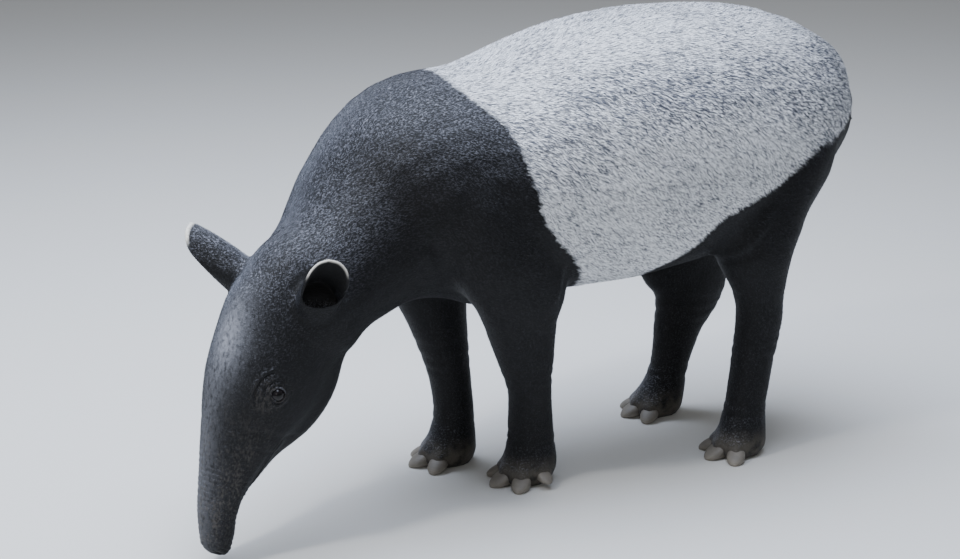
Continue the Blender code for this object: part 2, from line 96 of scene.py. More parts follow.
# Half of the edge of an ear as length, width and depth, from the tip to the notch at the front
EAR_RIM = [
    (0.128, 0.000, -0.018), (0.125, 0.021, -0.013), (0.114, 0.037, -0.003), (0.095, 0.046, 0.008),
    (0.072, 0.049, 0.015), (0.048, 0.044, 0.021), (0.029, 0.029, 0.027), (0.022, 0.000, 0.030),
]
# Where the base of each ear is, where its tip points and where it opens
EARS = {
    "ear_left": (point(0.783, 0.226, 0.549), point(-0.01, 0.63, 0.74), point(0.10, 1.02, -0.25)),
    "ear_right": (point(0.900, 0.079, 0.595), point(0.57, -0.52, 0.60), point(0.60, -0.45, -0.90)),
}
EAR_LENGTH = 0.16
# How far the edge turns out in width and in depth, and how the wall thickens down the cup
EAR_FLARE = (0.16, 0.32)
EAR_THICKENING = 0.9
CUP_HOLLOW = 0.004
CUP_MIDDLE = (0.088, 0.0, 0.012)

# name of a foot: place ahead and left, turn in degrees, side of the outer toe, hind or not
FEET = {
    "forefoot_left": (0.200, 0.082, 4, 1, False),
    "forefoot_right": (0.315, -0.095, -4, -1, False),
    "hindfoot_left": (-0.332, 0.165, 4, 1, True),
    "hindfoot_right": (-0.300, -0.150, -4, -1, True),
}
# name of a toe: direction in degrees outwards, distance out, height and scale; hind feet have no side toe
TOES = [("middle", 0, 0.053, 0.0, 1.0), ("inner", -41, 0.050, 0.0, 0.94), ("outer", 41, 0.050, 0.0, 0.94),
        ("side", 88, 0.048, 0.016, 0.72)]
# Sections of a hoof: ahead, up, half width, height above and below, power above and below, proud or not
HOOF = [
    (-0.0020, 0.0190, 0.0140, 0.0110, 0.0180, 2.0, 2.0, 0),
    (0.0005, 0.0188, 0.0172, 0.0145, 0.0185, 2.2, 2.4, 1),
    (0.0060, 0.0185, 0.0195, 0.0165, 0.0185, 2.3, 2.6, 1),
    (0.0220, 0.0160, 0.0222, 0.0160, 0.0165, 2.3, 2.6, 1),
    (0.0380, 0.0115, 0.0195, 0.0115, 0.0120, 2.2, 2.6, 1),
    (0.0490, 0.0075, 0.0125, 0.0070, 0.0080, 2.0, 2.4, 0),
    (0.0535, 0.0052, 0.0060, 0.0034, 0.0050, 2.0, 2.0, 0),
    (0.0545, 0.0050, 0.0020, 0.0012, 0.0030, 2.0, 2.0, 0),
]
HORN_WORN_BELOW = 0.016
# The skin at the feet: it is flat below the sole's height and drawn in under the horn of the hooves
SOLE = 0.0035
HOOVES_BELOW = 0.07
UNDER_HORN = 0.0042

# Swelling that makes the solids overlap, and the distance at which two corners are one
SWELL = 0.0006
SAME_PLACE = 1e-6
# Where one part passes into the next: along the head, ahead on the body, along the head, above the floor
HEAD_FROM = (-0.10, 0.04)
NECK_TO_HEAD = (0.62, 0.74)
CHEEK_TO_NOSE = (0.30, 0.40)
LEG_TO_FOOT = (0.10, 0.06)

# Fill of the throat: place ahead and up, reach and height
THROAT = (0.700, 0.440)
THROAT_REACH = 0.042
THROAT_FILL = 0.014
FURROW_WIDTH = 0.020
FURROW_DEPTH = 0.016
# Folds on both sides: start and end as ahead and up, width and depth
FOLDS = [
    ((-0.215, 0.475), (-0.335, 0.600), 0.010, 0.0050), ((-0.285, 0.430), (-0.230, 0.395), 0.005, 0.0020),
    ((-0.300, 0.405), (-0.245, 0.370), 0.005, 0.0018), ((0.205, 0.455), (0.190, 0.560), 0.012, 0.0045),
    ((0.455, 0.520), (0.520, 0.640), 0.014, 0.0040),
]
FOLD_BOW = 0.10
# Creases round the legs: level, half width and depth
LEG_CREASES = [(0.104, 0.0050, 0.0030), (0.130, 0.0055, 0.0022), (0.240, 0.0060, 0.0020),
               (0.268, 0.0060, 0.0028), (0.298, 0.0070, 0.0020)]
# Waves that bend the creases of the legs, and the soft unevenness of muscle: size, height and seed
CREASE_BENDS = [(0.07, 0.014, 21)]
UNEVENNESS = [(0.15, 0.0040, 22), (0.05, 0.0014, 23)]
# Creases of the throat: place ahead, width, depth and the height that they stay below
THROAT_CREASES = [(0.735, 0.010, 0.0030, 0.60), (0.700, 0.008, 0.0020, 0.56)]

# The long nose: waves that bend its rings, where the rings begin, and the creases that run along it
RING_BENDS = [(0.045, 0.010, 1), (0.016, 0.0022, 2)]
RINGS_FROM = (0.36, 0.46)
NOSE_MIDDLE = -0.14
NOSE_CREASES = 11
CREASE_DEPTH = 0.0005
# Folds between cheek and nose: place along the head, width and depth
CHEEK_FOLDS = [(0.335, 0.0066, 0.0016), (0.372, 0.00495, 0.0013)]
# Ends of the mouth along the head and its level, and where the nostrils begin
MOUTH_ENDS = (0.325, 0.468)
MOUTH_UP = -0.160
NOSTRILS_FROM = (0.585, 0.597)
NOSTRIL_DEPTH = 0.012

# Round an eye: reach of the new lids, of the skin that isn't thinned and of the finest mesh
EYE_PATCH = 0.041
LIDS_REACH = 0.036
FACE_REACH = 0.074
LID_TILT = math.radians(14)
LID_WALL = 0.0019
LID_RINGS = 22
# Rings behind the edge of the lids: share of the opening, and height over the eyeball
LID_INSIDE = [(0.965, 0.0012), (0.93, 0.0004), (0.86, -0.0010), (0.70, -0.0030), (0.40, -0.0050)]
# Distances from the middle of the eyeball's front between which the pupil and the iris end
PUPIL_EDGE = (0.0042, 0.0055)
IRIS_EDGE = (0.0098, 0.0120)
# Cosines of the angle from the front between which the bulge of the eyeball grows
BULGE_FROM = (0.80, 0.97)

# Edges of the white saddle: height and distance ahead along the front, distance ahead and height behind
SADDLE_FRONT = [(0.40, 0.09), (0.481, 0.125), (0.554, 0.172), (0.655, 0.265), (0.755, 0.302),
                (0.858, 0.336), (0.953, 0.414), (1.10, 0.44)]
SADDLE_REAR = [(-0.72, 0.85), (-0.68, 0.829), (-0.547, 0.768), (-0.443, 0.747), (-0.303, 0.662),
               (-0.186, 0.615), (-0.118, 0.525), (-0.045, 0.470), (0.12, 0.42)]
# A step up is longer than the shortest way to the slanting rear edge
REAR_SLANT = 0.85

# Lie of the hair as X, Y and Z
HAIR_BACK = np.array([0.0, 1.0, -0.35])
HAIR_OVER_NECK = np.array([0.0, -0.25, 0.75])
HAIR_DOWN_FLANK = np.array([0.0, 0.0, -0.45])
HAIR_DOWN_LEG = np.array([0.0, 0.10, -1.0])
# The coat grows in areas: the head, the legs below a height, and bands that end so far ahead on the body
AREAS = ["head", "legs_right", "legs_left", "front_right", "front_left", "middle_right", "middle_left",
         "rear_right", "rear_left", "rump_right", "rump_left"]
LEGS_BELOW = 0.42
BANDS = (0.30, -0.03, -0.36)
MAP_MESH = 0.016
# A tuft: thickness for its width, how far it strays, and its chances as lowest, highest and seed
TUFT_THICKNESS = 0.35
TUFT_STRAY = 0.42
TUFT_CHANCES = [("shade", 0.0, 1.0, 7), ("lift", 0.3, 1.7, 5), ("wide", 0.7, 1.2, 3), ("long", 0.7, 1.25, 4)]
# Shorter hair grows denser, down to this size; below the other the skin is bare
SMALLEST_FUR = 0.80
BARE_SKIN = 0.12
# Patterns of the coat: spots on a metre, so that 70 are 14 mm apart, scale on each axis and detail
PATTERNS = {
    "tongues": (70, (1.0, 0.45, 1.0), 3.0),
    "crossing hairs": (420, (1.0, 0.30, 1.0), 1.0),
    "drifts of dark hair": (9, (1.0, 0.6, 1.0), 3.0),
    "single hairs": (330, (1.0, 0.5, 1.0), 2.0),
    "broken bloom": (170, (1.0, 1.0, 0.5), 4.0),
    "specks of the nose": (230, (1.0, 1.0, 0.6), 3.0),
    "blotches of the nose": (40, (1.0, 1.0, 0.25), 2.0),
    "dust": (45, (1.0, 1.0, 1.0), 4.0),
    "fine hair": (600, (1.0, 0.25, 1.0), 2.0),
    "locks": (140, (1.0, 0.5, 1.0), 3.0),
}

# Direction, rise and roll of the camera in degrees, its lens in millimetres, and what it aims at
CAMERA_ANGLES = (62.67, 16.93, 0.3)
CAMERA_LENS = 69.86
CAMERA_AIM = (0.29, 0.0, 0.47)
CAMERA_DISTANCE = 4.2
# Lights: name, setting of the power, place, aim, size and colour
BODY_MIDDLE = (0.0, 0.1, 0.6)
LIGHTS = [
    ("overhead", "overhead", (-0.4, -0.6, 4.4), BODY_MIDDLE, 4.0, "#DFEAFF"),
    ("by_camera", "fill", (3.2, -2.8, 2.4), BODY_MIDDLE, 1.8, "#FFFDF8"),
    ("eye_light", "eye_light", (0.6, -2.6, 3.0), (0.25, -0.9, 0.5), 0.3, "#FFFFFF"),
]

# Kinds of node and their settings
MATH, VECTORS, MIX, RANGE = "ShaderNodeMath", "ShaderNodeVectorMath", "ShaderNodeMix", "ShaderNodeMapRange"
NAMED, KEEP = "GeometryNodeInputNamedAttribute", "GeometryNodeStoreNamedAttribute"
RANDOM, ALIGN = "FunctionNodeRandomValue", "FunctionNodeAlignRotationToVector"
ADD, SUBTRACT, MULTIPLY, DIVIDE, MULTIPLY_ADD, MAXIMUM, SCALE = (
    {"operation": name}
    for name in ("ADD", "SUBTRACT", "MULTIPLY", "DIVIDE", "MULTIPLY_ADD", "MAXIMUM", "SCALE"))
SMOOTH = {"interpolation_type": "SMOOTHSTEP"}
COLOURS = {"data_type": "RGBA"}


# Settings


def power(name, text, default):
    return bpy.props.FloatProperty(name=name, description=text, default=default, min=0, unit="POWER")


def length(name, text, default):
    return bpy.props.FloatProperty(name=name, description=text, default=default, min=0, max=1,
                                   precision=4, subtype="DISTANCE", unit="LENGTH")


def colour(name, text, code):
    return bpy.props.StringProperty(name=name, description=text + ", as an sRGB hex code", default=code)


class TapirSkinSettings(bpy.types.PropertyGroup):
    mesh_size: length("Mesh size", "Size of the skin's faces on the body", 0.007)
    head_mesh: length("Head mesh size", "Longest edge of the skin's faces on the head", 0.0046)
    face_mesh: length("Face mesh size", "Longest edge of the faces on the nose and by the eyes", 0.0026)
    coat_depth: length("Coat depth", "How far the skin lies inside the solids on the body", 0.0022)
    fold_depth: length("Fold depth", "Depth of the rings round the long nose", 0.0020)
    fold_spacing: length("Fold spacing", "Distance between the rings of the long nose", 0.0105)
    ear_wall: length("Ear wall", "Thickness of the ear at its edge", 0.0045)
    most_faces: bpy.props.IntProperty(name="Most triangles", description="Number that the skin is thinned to",
                                      default=190000, min=1000)
    black: colour("Black coat", "Colour of the head, legs and shoulders", "#08080A")
    # Painted highlight: black hairs turn this grey where the coat faces up, to the light from above
    painted_glint: colour("Lit hair", "Colour of single black hairs that catch the light", "#7E808A")
    # Painted highlight: a pale band along the ridge of the forehead and nose
    painted_ridge_highlight: colour("Ridge highlight", "Colour of the pale streak down the forehead", "#9A9DA6")
    grey: colour("Muzzle", "Colour of the worn skin of the nose", "#5A5652")
    white: colour("White coat", "Colour of the saddle", "#F4F6F9")
    fleck: colour("Flecks", "Colour of the dark hairs in the saddle", "#565A65")
    # Partly painted shade: the ear cups are kept near black, without painted highlight or sheen, so that the
    # hollow reads as shaded
    cup: colour("Ear cup", "Colour of the inside of the ears", "#060606")
    rim: colour("Ear edge", "Colour of the pale edge of the ears", "#E2DED4")
    lid: colour("Lid edge", "Colour of the bare edge of the lids", "#2B2725")
    dust: colour("Dust", "Colour of the dry dust on the feet", "#5B564E")
    sheen: colour("Sheen", "Colour that the black hair scatters back", "#C2C8D6")


class TapirCoatSettings(bpy.types.PropertyGroup):
    hair_length: length("Hair length", "Length of a tuft on the body", 0.0118)
    hair_width: length("Hair width", "Width of a tuft at its root", 0.0021)
    hair_lift: bpy.props.FloatProperty(name="Lift", description="Angle of the tufts over the skin",
                                       default=math.radians(11), subtype="ANGLE")
    density: bpy.props.FloatProperty(name="Tufts", description="Number of tufts on a square metre",
                                     default=94000, min=0)


class TapirEyeSettings(bpy.types.PropertyGroup):
    radius: length("Radius", "Radius of the eyeball", 0.0182)
    bulge: length("Bulge", "How far the clear front stands out of the ball", 0.0011)
    half_length: length("Half length", "Half of the length of the opening between the lids", 0.0140)
    half_height: length("Half height", "Half of the height of the opening between the lids", 0.0156)
    iris: colour("Iris", "Colour of the iris", "#100C0F")
    pupil: colour("Pupil", "Colour of the pupil", "#050506")
    ball: colour("Ball", "Colour of the eyeball round the iris", "#0A080C")


class TapirHoofSettings(bpy.types.PropertyGroup):
    proud: length("Proud", "How far the horn stands out of the skin round it", 0.0006)
    line_spacing: length("Line spacing", "Distance between the lines of growth", 0.0042)
    line_height: length("Line height", "Height of the lines of growth", 0.00025)
    horn: colour("Horn", "Colour of the hooves", "#5F5B55")
    worn: colour("Worn horn", "Colour of the worn edge of the hooves", "#8A8378")


class TapirStageSettings(bpy.types.PropertyGroup):
    floor: colour("Floor", "Colour of the floor", "#D0CFCB")
    room: colour("Room", "Colour of the light all round", "#F2F4F7")
    overhead: power("Overhead light", "Power of the light above", 560)
    fill: power("Fill light", "Power of the light by the camera", 18)
    eye_light: power("Eye light", "Power of the small light in the eyes", 50)
    sky: bpy.props.FloatProperty(name="Room light", description="Strength of the light all round",
                                 default=0.32, min=0)


def settings(name):
    return getattr(bpy.context.scene, "tapir_" + name)


# Small tools


def linear(code):
    """An sRGB hex code as linear RGBA."""
    parts = [int(code[i:i + 2], 16) / 255 for i in (1, 3, 5)]
    return (*[c / 12.92 if c <= 0.04045 else ((c + 0.055) / 1.055) ** 2.4 for c in parts], 1.0)


def first_output(node):
    """The first output of a node that is in use."""
    return next(output for output in node.outputs if output.enabled)


def add_node(tree, kind, options=None, inputs=()):
    """Adds a node with its settings and links.

    Inputs come in the order of the sockets in use, or by name in a dict. A node as an input feeds its
    first output in use, and a socket feeds itself.
    """
    node = tree.nodes.new(kind)
    for name, value in (options or {}).items():
        setattr(node, name, value)
    in_use = [socket for socket in node.inputs if socket.enabled]
    if isinstance(inputs, dict):
        by_name = {socket.name: socket for socket in in_use}
        pairs = [(by_name[name], value) for name, value in inputs.items()]
    else:
        pairs = zip(in_use, inputs)
    for socket, value in pairs:
        if isinstance(value, bpy.types.Node):
            value = first_output(value)
        if isinstance(value, bpy.types.NodeSocket):
            tree.links.new(value, socket)
        else:
            socket.default_value = value
    return node


def new_material(name, uniform):
    """A material, its tree and its shader, which gets the values that are the same all over the surface."""
    material = bpy.data.materials.new(name)
    material.use_nodes = True
    tree = material.node_tree
    shader = tree.nodes["Principled BSDF"]
    for socket, value in uniform.items():
        shader.inputs[socket].default_value = value
    return material, tree, shader


def smooth_step(low, high, values):
    """0 below low, 1 above high and a smooth rise between them; high may be the smaller one."""
    t = np.clip((values - low) / (high - low), 0, 1)
    return t * t * (3 - 2 * t)


def bell(centre, width, values):
    return np.exp(-((values - centre) / width) ** 2)


def coordinates(mesh):
    co = np.empty(len(mesh.vertices) * 3)
    mesh.vertices.foreach_get("co", co)
    return co.reshape(-1, 3)


def normals(mesh):
    found = np.empty(len(mesh.vertices) * 3, np.float32)
    mesh.vertex_normals.foreach_get("vector", found)
    return found.reshape(-1, 3).astype(float)


def move(mesh, co):
    mesh.vertices.foreach_set("co", co.ravel())
    mesh.update()


def along_left_up(co, place):
    """Places as ahead, left and up in the frame of a part, as three rows."""
    turn = np.array(place.inverted())
    local = co @ turn[:3, :3].T + turn[:3, 3]
    return -local[:, 1], local[:, 0], local[:, 2]


def ahead_of(co):
    """How far each place lies ahead of the point that the body is measured from."""
    return -(co[:, 1] - ORIGIN.y)


def relax(mesh, weights, rounds, forward=0.5, back=-0.53):
    """Evens out a mesh; the step back keeps it from shrinking."""
    co = coordinates(mesh)
    pairs = np.empty(len(mesh.edges) * 2, np.int32)
    mesh.edges.foreach_get("vertices", pairs)
    one, two = pairs.reshape(-1, 2).T
    count = len(co)
    links = np.maximum(np.bincount(one, minlength=count) + np.bincount(two, minlength=count), 1)
    for _ in range(rounds):
        for step in (forward, back):
            total = np.stack([np.bincount(one, co[two, i], count) + np.bincount(two, co[one, i], count)
                              for i in range(3)], 1)
            co = co + (total / links[:, None] - co) * (step * weights[:, None])
    move(mesh, co)


def put(name, mesh):
    """A new object with that mesh in the scene."""
    obj = bpy.data.objects.new(name, mesh)
    bpy.context.scene.collection.objects.link(obj)
    return obj


def applied(obj):
    """Takes the result of an object's modifiers as its own mesh."""
    bpy.context.view_layer.update()
    depsgraph = bpy.context.evaluated_depsgraph_get()
    mesh = bpy.data.meshes.new_from_object(obj.evaluated_get(depsgraph))
    obj.modifiers.clear()
    obj.data = mesh
    return obj


def remeshed(obj, size):
    """Makes an object one even closed mesh with faces of a size."""
    even = obj.modifiers.new("even", "REMESH")
    even.mode = "VOXEL"
    even.voxel_size = size
    return applied(obj)


def combine(obj, other):
    """Joins another closed mesh to an object's; the other object is removed."""
    join = obj.modifiers.new("join", "BOOLEAN")
    join.operation = "UNION"
    join.solver = "MANIFOLD"
    join.object = other
    applied(obj)
    bpy.data.objects.remove(other)


def finish_piece(obj, nodes, material):
    """Gives a finished piece its material, hangs it on the root of the body and hides the solids that it
    stands for.
    """
    obj.data.materials.clear()
    obj.data.materials.append(material)
    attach(obj, "root")
    if nodes:
        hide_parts(*nodes)


def spline(values, steps):
    """Points of a smooth curve through equal-length rows of numbers, with steps between each two rows."""
    rows = np.array([values[0], *values, values[-1]], float)
    result = []
    for before, start, end, after in zip(rows, rows[1:], rows[2:], rows[3:]):
        for t in np.arange(steps) / steps:
            result.append(0.5 * (2 * start + (end - before) * t
                                 + (2 * before - 5 * start + 4 * end - after) * t * t
                                 + (3 * start - before - 3 * end + after) * t ** 3))
    return np.array(result + [rows[-1]])


def rounded(angle, power):
    """Cosine and sine of a superellipse."""
    c, s = math.cos(angle), math.sin(angle)
    return math.copysign(abs(c) ** (2 / power), c), math.copysign(abs(s) ** (2 / power), s)


def join_rings(forms, rings):
    """Joins loops of the same length with faces."""
    for one, two in zip(rings, rings[1:]):
        for k in range(len(one)):
            forms.faces.new((one[k], one[k - 1], two[k - 1], two[k]))


def closed_rings(forms, rings):
    """Joins loops of the same length with faces, and closes both ends."""
    join_rings(forms, rings)
    forms.faces.new(rings[0])
    forms.faces.new(rings[-1][::-1])


def loft(forms, rows, place, sides, steps):
    """A closed form through sections: ahead, up, wide, above, below, power above and below."""
    rings = []
    for ahead, up, wide, above, below, top, bottom in spline(rows, steps):
        ring = []
        for k in range(sides):
            angle = 2 * math.pi * k / sides
            c, s = rounded(angle, top if math.sin(angle) > 0 else bottom)
            ring.append(forms.verts.new(
                place @ point(ahead, wide * c, up + s * (above if s > 0 else below))))
        rings.append(ring)
    closed_rings(forms, rings)


def mesh_of(name, forms):
    bmesh.ops.recalc_face_normals(forms, faces=forms.faces)
    mesh = bpy.data.meshes.new(name)
    forms.to_mesh(mesh)
    forms.free()
    return mesh


# Skin


def flesh_nodes():
    """The nodes that the one skin stands for."""
    return sorted(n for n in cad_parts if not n.startswith(("eye_", "forehoof_", "hindhoof_")))


def body_shell(size):
    """All solids but the ears, swollen a little so that they overlap, made one even mesh."""
    forms = bmesh.new()
    for name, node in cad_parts.items():
        if name.startswith("ear_"):
            continue
        part = bmesh.new()
        part.from_mesh(node.data)
        bmesh.ops.remove_doubles(part, verts=part.verts, dist=SAME_PLACE)
        part.normal_update()
        for vert in part.verts:
            vert.co += vert.normal * SWELL
        mesh = bpy.data.meshes.new(name)
        part.to_mesh(mesh)
        part.free()
        forms.from_mesh(mesh)
        bpy.data.meshes.remove(mesh)
    mesh = bpy.data.meshes.new("shell")
    forms.to_mesh(mesh)
    forms.free()
    return remeshed(put("skin", mesh), size)


def largest_part(mesh):
    """Keeps only the largest closed surface of a mesh."""
    forms = bmesh.new()
    forms.from_mesh(mesh)
    forms.verts.ensure_lookup_table()
    seen, groups = set(), []
    for start in forms.verts:
        if start in seen:
            continue
        seen.add(start)
        stack, group = [start], []
        while stack:
            vert = stack.pop()
            group.append(vert)
            for edge in vert.link_edges:
                other = edge.other_vert(vert)
                if other not in seen:
                    seen.add(other)
                    stack.append(other)
        groups.append(group)
    groups.sort(key=len)
    bmesh.ops.delete(forms, geom=[v for group in groups[:-1] for v in group], context="VERTS")
    forms.to_mesh(mesh)
    forms.free()


def regions(co):
    """How much each vertex belongs to the head, to the nose and to the feet."""
    along, _, _ = along_left_up(co, HEAD)
    head = smooth_step(*HEAD_FROM, along) * smooth_step(*NECK_TO_HEAD, ahead_of(co))
    nose = smooth_step(*CHEEK_TO_NOSE, along) * head
    feet = smooth_step(*LEG_TO_FOOT, co[:, 2]) * (1 - head)
    return head, nose, feet


def ear_place(name):
    """Frame of an ear: its length ahead, its width left and its opening up."""
    base, tip, opening = EARS[name]
    tip = tip.normalized()
    opening = (opening - tip * opening.dot(tip)).normalized()
    turn = Matrix((opening.cross(tip), -tip, opening)).transposed().to_4x4()
    return Matrix.Translation(ORIGIN + base) @ turn


def rim_of_ear(count):
    """The edge of an ear as a loop of length, width and depth, from one side over its front notch."""
    half = spline(EAR_RIM, 12)
    loop = np.concatenate([half, half[-2:0:-1] * (1, -1, 1)])
    run = np.concatenate([[0], np.cumsum(np.linalg.norm(np.diff(loop, axis=0, append=loop[:1]), axis=1))])
    at = np.linspace(0, run[-1], count, endpoint=False)
    closed = np.concatenate([loop, loop[:1]])
    return np.stack([np.interp(at, run, closed[:, i]) for i in range(3)], 1)


def between(start, leaving, end, arriving, t):
    """A point of the curve from start to end with the directions in which it leaves and arrives."""
    return (start * (2 * t ** 3 - 3 * t ** 2 + 1) + leaving * (t ** 3 - 2 * t ** 2 + t)
            + end * (3 * t ** 2 - 2 * t ** 3) + arriving * (t ** 3 - t ** 2))


def ear_rings(wall, count=96, steps=22, cup_floor=8):
    """Rings of an ear in its own frame: up its outside, over the rim and down into the cup."""
    rim = rim_of_ear(count)
    angle = np.arange(count) * 2 * math.pi / count
    long, wide, deep = EAR_ROOT
    root = np.stack([np.full(count, long), wide * np.sin(angle), -deep * np.cos(angle)], 1)
    reach = np.linalg.norm(rim - root, axis=1)[:, None]
    leaving = np.array([1.0, 0.0, 0.0]) * reach
    flare_wide, flare_deep = EAR_FLARE
    flare = np.stack([np.full(count, 1.0), flare_wide * np.sin(angle), flare_deep * np.cos(angle)], 1) * reach
    outside = np.array([between(root, leaving, rim, flare, t) for t in np.linspace(0, 1, steps)])
    along = np.gradient(outside, axis=0)
    around = np.roll(outside, -1, axis=1) - np.roll(outside, 1, axis=1)
    out = np.cross(around, along)
    out /= np.linalg.norm(out, axis=2)[:, :, None]
    centre = outside.mean(axis=1, keepdims=True)
    out *= np.sign((out * (outside - centre)).sum(2, keepdims=True))
    rings = list(outside)
    tip = along[-1] / np.linalg.norm(along[-1], axis=1)[:, None]
    # the round edge of the wall
    for turn in map(math.radians, (40, 90, 140)):
        rings.append(outside[-1] - out[-1] * wall / 2 * (1 - math.cos(turn))
                     + tip * wall / 2 * math.sin(turn))
    # the wall grows thicker towards the bottom of the cup
    for k in range(steps - 1, cup_floor, -1):
        rings.append(outside[k] - out[k] * wall * (1 + EAR_THICKENING * (1 - k / (steps - 1))))
    bottom = rings[-1]
    for share in (0.75, 0.45, 0.18):
        sunk = (CUP_HOLLOW * (1 - share), 0, 0)
        rings.append(bottom.mean(0) + (bottom - bottom.mean(0)) * share - sunk)
    return rings


def ear(name, wall):
    """An ear with its cup, its root sunk in the head."""
    forms, place = bmesh.new(), ear_place(name)
    closed_rings(forms, [[forms.verts.new(place @ point(*spot)) for spot in ring]
                         for ring in ear_rings(wall)])
    return put(name, mesh_of(name, forms))


def refine(mesh, chosen, size):
    """Halves the edges over a size among the vertices that chosen picks."""
    forms = bmesh.new()
    forms.from_mesh(mesh)
    forms.verts.ensure_lookup_table()
    picked = chosen(coordinates(mesh))
    edges = [e for e in forms.edges
             if picked[e.verts[0].index] and picked[e.verts[1].index] and e.calc_length() > size]
    bmesh.ops.subdivide_edges(forms, edges=edges, cuts=1, use_grid_fill=True, smooth=0.0)
    forms.to_mesh(mesh)
    forms.free()


def thin(obj, most):
    """Joins faces where the skin is flat until it has at most so many triangles, but not on ears and lids."""
    mesh = obj.data
    mesh.calc_loop_triangles()
    co = coordinates(mesh)
    kept = (near_ears(co)[1] > 0.5) | (near_eye(co) < LIDS_REACH)
    free = obj.vertex_groups.new(name="free")
    free.add(np.nonzero(~kept)[0].tolist(), 1.0, "REPLACE")
    modifier = obj.modifiers.new("thin", "DECIMATE")
    modifier.ratio = min(1.0, most / len(mesh.loop_triangles))
    modifier.vertex_group = free.name
    applied(obj)
    obj.vertex_groups.clear()


def near_ears(co):
    """Distance to the nearest ear root, and how much a vertex is on an ear."""
    distance = np.full(len(co), np.inf)
    on_ear = np.zeros(len(co))
    for name in EARS:
        along, left, up = along_left_up(co, ear_place(name))
        reach = np.hypot(left, up)
        distance = np.minimum(distance, np.sqrt(reach ** 2 + (along - 0.01) ** 2))
        near = (along > 0.015) & (along < EAR_LENGTH) & (reach < 0.075)
        on_ear = np.maximum(on_ear, smooth_step(0.020, 0.045, along) * near)
    return distance, on_ear


def hooves_tree():
    """All hooves of the solids as one search tree."""
    forms = bmesh.new()
    for name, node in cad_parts.items():
        if "hoof_" in name:
            forms.from_mesh(node.data)
    tree = BVHTree.FromBMesh(forms)
    forms.free()
    return tree


def tuck_hooves(mesh):
    """Draws the skin in under the horn of the hooves."""
    tree = hooves_tree()
    co, out = coordinates(mesh), normals(mesh)
    for i in np.nonzero(co[:, 2] < HOOVES_BELOW)[0]:
        place, _, _, distance = tree.find_nearest(Vector(co[i]), 0.006)
        if place is not None:
            co[i] -= out[i] * UNDER_HORN * float(smooth_step(0.005, 0.001, distance))
    move(mesh, co)


def ripple(co, size, seed):
    """Smooth noise from -1 to 1 at some places."""
    shift = Vector((seed * 7.1, seed * 3.3, seed * 5.7))
    return np.array([noise.noise(Vector(p) / size + shift) for p in co])


def waves(co, rows):
    """The sum of smooth noises, each given as its size, its height and its seed."""
    return sum(ripple(co, size, seed) * height for size, height, seed in rows)


def nose_rings(co, along, left, up, options):
    """Depth of the rings of the long nose, and of the fine lengthways creases between them."""
    ring = np.abs(np.sin(math.pi * (along + waves(co, RING_BENDS)) / options.fold_spacing)) ** 0.6
    strength = smooth_step(*RINGS_FROM, along) * (0.55 + 0.45 * ripple(co, 0.03, 3))
    depth = options.fold_depth * (1 - ring) * 1.6 * strength
    turn = np.arctan2(left, up - NOSE_MIDDLE)
    return depth + CREASE_DEPTH * np.abs(np.sin((turn * NOSE_CREASES + ripple(co, 0.02, 4) * 2))) * strength


def mouth_line(along, up):
    """Height of the groove between the lips and of the lips on both sides of it."""
    corner, tip = MOUTH_ENDS
    above = up - (MOUTH_UP - 0.012 * (tip - along) / (tip - corner))
    side = smooth_step(corner + 0.005, corner + 0.025, along) * smooth_step(tip + 0.012, tip - 0.002, along)
    lips = 0.0016 * bell(0.0075, 0.004, above) + 0.0014 * bell(-0.0075, 0.004, above)
    return (lips - 0.0055 * bell(0, 0.0028, above)) * side


def cheek_folds(co, along, left, up):
    """Depth of the soft folds where the cheek meets the nose."""
    depth = np.zeros(len(co))
    for place, width, deep in CHEEK_FOLDS:
        line = place + 0.10 * (up + 0.12) + ripple(co, 0.05, 5) * 0.006
        depth += deep * bell(0, width, along - line) * smooth_step(0.02, 0.05, np.abs(left))
    return depth


def brow_fold(co, side):
    """Depth of the arched fold over an eye, under the ridge of the forehead."""
    ahead, out, up = along_left_up(co, eye_place(side))
    arc = np.hypot(ahead - 0.002, (up - 0.014) / 0.76)
    over = smooth_step(0.016, 0.034, up) * smooth_step(0.044, 0.016, ahead) * (out * side > -0.06)
    return (0.0038 * bell(0.043, 0.0030, arc) - 0.0018 * bell(0.0505, 0.0045, arc)) * over


def nostrils(along, left, up):
    """How much each place lies in one of the two nostrils, side by side at the tip."""
    inside = np.zeros(len(along))
    for side in (-1, 1):
        shape = ((left - 0.0135 * side) / 0.0062) ** 2 + ((up + 0.152) / 0.0100) ** 2
        inside = np.maximum(inside, np.exp(-shape ** 1.5) * smooth_step(*NOSTRILS_FROM, along))
    return inside


def wrinkle(mesh, options):
    """Rings round the long nose, the line of the mouth, nostrils and folds of the face and throat."""
    co, out = coordinates(mesh), normals(mesh)
    head = regions(co)[0]
    near = np.nonzero(head > 0.01)[0]
    face = co[near]
    along, left, up = along_left_up(face, HEAD)
    height = (mouth_line(along, up) - nose_rings(face, along, left, up, options)
              - cheek_folds(face, along, left, up) - brow_fold(face, -1) - brow_fold(face, 1))
    inward = np.array(HEAD.to_3x3() @ point(-1, 0, 0)) * NOSTRIL_DEPTH
    co[near] += out[near] * height[:, None] + inward * nostrils(along, left, up)[:, None]
    body = np.nonzero((head < 0.9) & (co[:, 2] > 0.2))[0]
    crease = np.zeros(len(body))
    for place, width, depth, below in THROAT_CREASES:
        line = place - 0.25 * (co[body, 2] - 0.55)
        strength = smooth_step(below, below - 0.12, co[body, 2])
        crease += depth * bell(0, width, ahead_of(co[body]) - line) * strength
    co[body] -= out[body] * crease[:, None]
    move(mesh, co)


